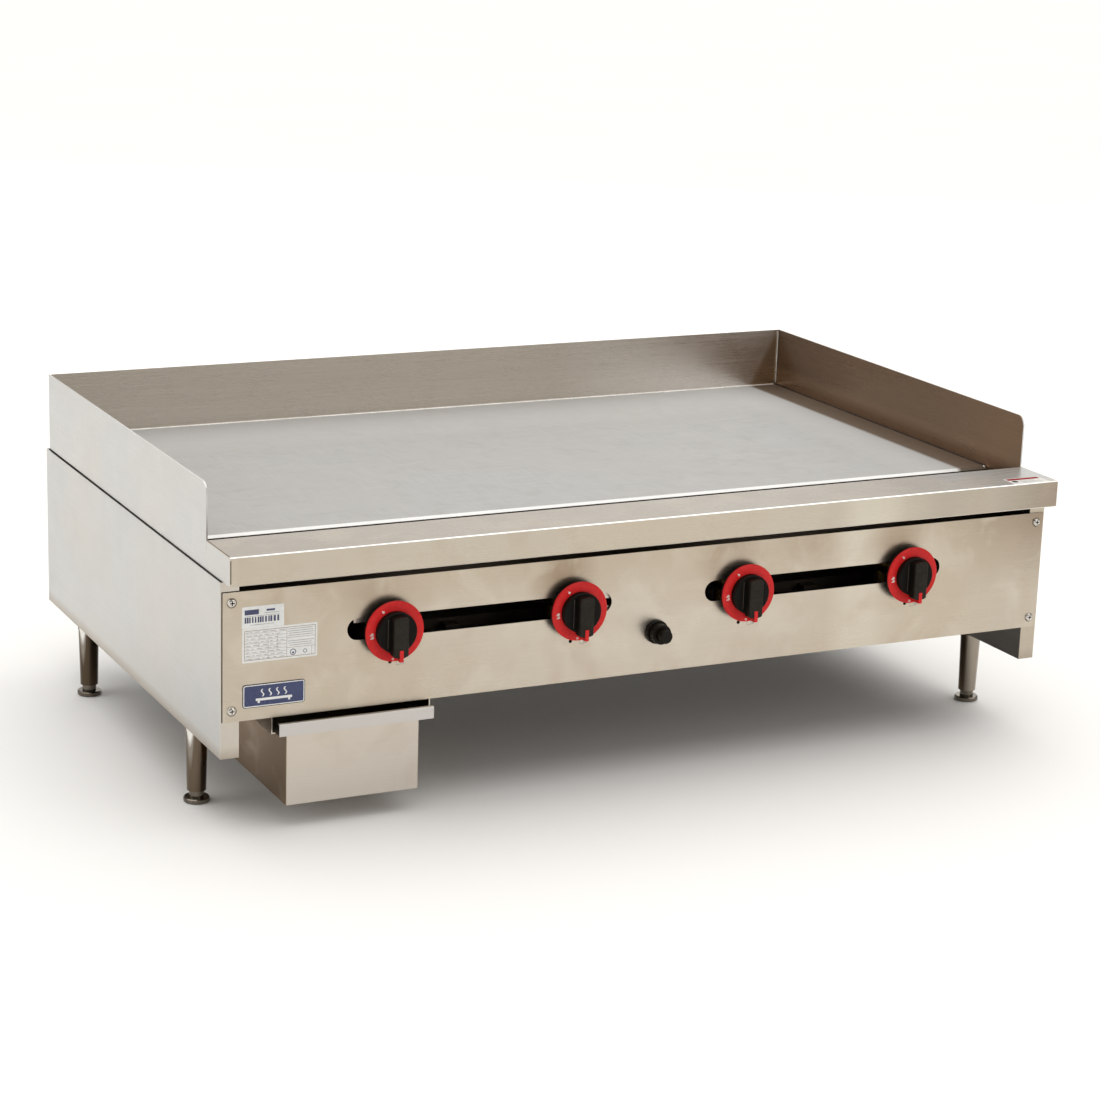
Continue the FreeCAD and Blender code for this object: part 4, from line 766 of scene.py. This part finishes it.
def edge_lines():
    """Dark seams at the ledge's left end, and the shadow gap at the panel's left end."""
    low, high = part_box("front_ledge")
    left, wide, bend = low.x / MM, 1.5, 4
    layer("ledge_end_seam", [rectangle(left, low.y / MM + bend, left + wide, high.y / MM - 1)],
          level(high.z), 0.05, seam_and_shadow_brown, "frame")
    layer("ledge_corner_seam", [rectangle(left, low.z / MM + bend, left + wide, high.z / MM - bend)],
          upright(low.y), 0.05, seam_and_shadow_brown, "frame")
    low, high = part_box("front_panel")
    left, bottom, top = low.x / MM, low.z / MM, high.z / MM
    gaps = [rectangle(left - 1, bottom, left, top + 1), rectangle(left, top, left + 30, top + 1)]
    layer("panel_gap", gaps, upright(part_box("left_side_panel")[0].y), 0.05, black_ink_and_shade, "frame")


# Stage, light and camera

def stage():
    """A very large pale floor."""
    recipe = Recipe("floor_pale", Roughness=0.85)
    cloud = recipe.noise((1.3, 1.3, 1.3), 3)
    recipe.colour(recipe.mix(recipe.span(cloud, 0, 1), tone(240, 239, 237), tone(242, 241, 239)))
    half = 90
    bm = bmesh.new()
    bmesh.ops.create_grid(bm, x_segments=12, y_segments=12, size=half)
    mesh = bpy.data.meshes.new("floor")
    bm.to_mesh(mesh)
    bm.free()
    floor = bpy.data.objects.new("floor", mesh)
    floor.location.z = -0.0002
    mesh.materials.append(recipe.material)
    bpy.context.scene.collection.objects.link(floor)


def area_light(name, place, target, size, power, colour):
    light = bpy.data.lights.new(name, "AREA")
    light.shape = "RECTANGLE"
    light.size, light.size_y = size
    light.energy = power
    light.color = colour
    lamp = bpy.data.objects.new(name, light)
    lamp.location = place
    lamp.rotation_euler = (Vector(target) - Vector(place)).to_track_quat("-Z", "Y").to_euler()
    lamp.visible_camera = False
    bpy.context.scene.collection.objects.link(lamp)


def lights():
    """Soft studio light: a pale surround, a broad sky and three large panels."""
    world = bpy.data.worlds.new("studio")
    bpy.context.scene.world = world
    world.use_nodes = True
    nodes, links = world.node_tree.nodes, world.node_tree.links
    surround = nodes["Background"]
    surround.inputs["Color"].default_value = (1.0, 0.995, 0.985, 1)
    direction = nodes.new("ShaderNodeTexCoord")
    height = nodes.new("ShaderNodeSeparateXYZ")
    glow = nodes.new("ShaderNodeMapRange")
    glow.interpolation_type = "SMOOTHSTEP"
    for socket, value in (("From Min", 0.13), ("From Max", 0.24), ("To Min", 0.85), ("To Max", 0.32)):
        glow.inputs[socket].default_value = value
    links.new(direction.outputs["Generated"], height.inputs["Vector"])
    links.new(height.outputs["Z"], glow.inputs["Value"])
    links.new(glow.outputs["Result"], surround.inputs["Strength"])
    sun = bpy.data.lights.new("sky", "SUN")
    sun.energy = 2.7
    sun.angle = math.radians(100)
    sun.color = (1.0, 0.985, 0.96)
    lamp = bpy.data.objects.new("sky", sun)
    lamp.rotation_euler = (math.radians(-8), math.radians(8), 0)
    bpy.context.scene.collection.objects.link(lamp)
    area_light("panel_back", (2.7, 4.2, 1.9), (0, 0, 0.3), (4.4, 2.2), 27, (1, 0.99, 0.97))
    area_light("panel_front", (2.4, -4.0, 2.4), (0, 0, 0.2), (3.0, 2.4), 26, (1, 0.97, 0.93))
    area_light("panel_left", (-4.2, 0.8, 2.2), (0, 0, 0.2), (3.0, 2.4), 26, (0.98, 0.99, 1))


def camera():
    """The photograph's viewpoint: its place, its aim and its slight roll."""
    data = bpy.data.cameras.new("camera")
    data.sensor_width = 36
    data.lens = 91.01
    data.clip_start = 0.1
    data.clip_end = 400
    seat = bpy.data.objects.new("camera", data)
    azimuth, elevation, roll = (math.radians(angle) for angle in (-26.453, 15.190, 1.876))
    back = Vector((math.sin(azimuth) * math.cos(elevation), -math.cos(azimuth) * math.cos(elevation),
                   math.sin(elevation)))
    right = Vector((0, 0, 1)).cross(back).normalized()
    up = back.cross(right)
    right, up = (right * math.cos(roll) + up * math.sin(roll), up * math.cos(roll) - right * math.sin(roll))
    turn = Matrix((right, up, back)).transposed()
    seat.matrix_world = Matrix.Translation((-1.69825, -3.44132, 1.26535)) @ turn.to_4x4()
    bpy.context.scene.collection.objects.link(seat)
    bpy.context.scene.camera = seat


bpy.context.scene.view_settings.view_transform = "Standard"
finish_frame()
stage()
lights()
camera()
panel_labels()
badge_emblem()
ledge_label()
knob_marks()
screw_marks()
slot_tabs()
welds()
edge_lines()
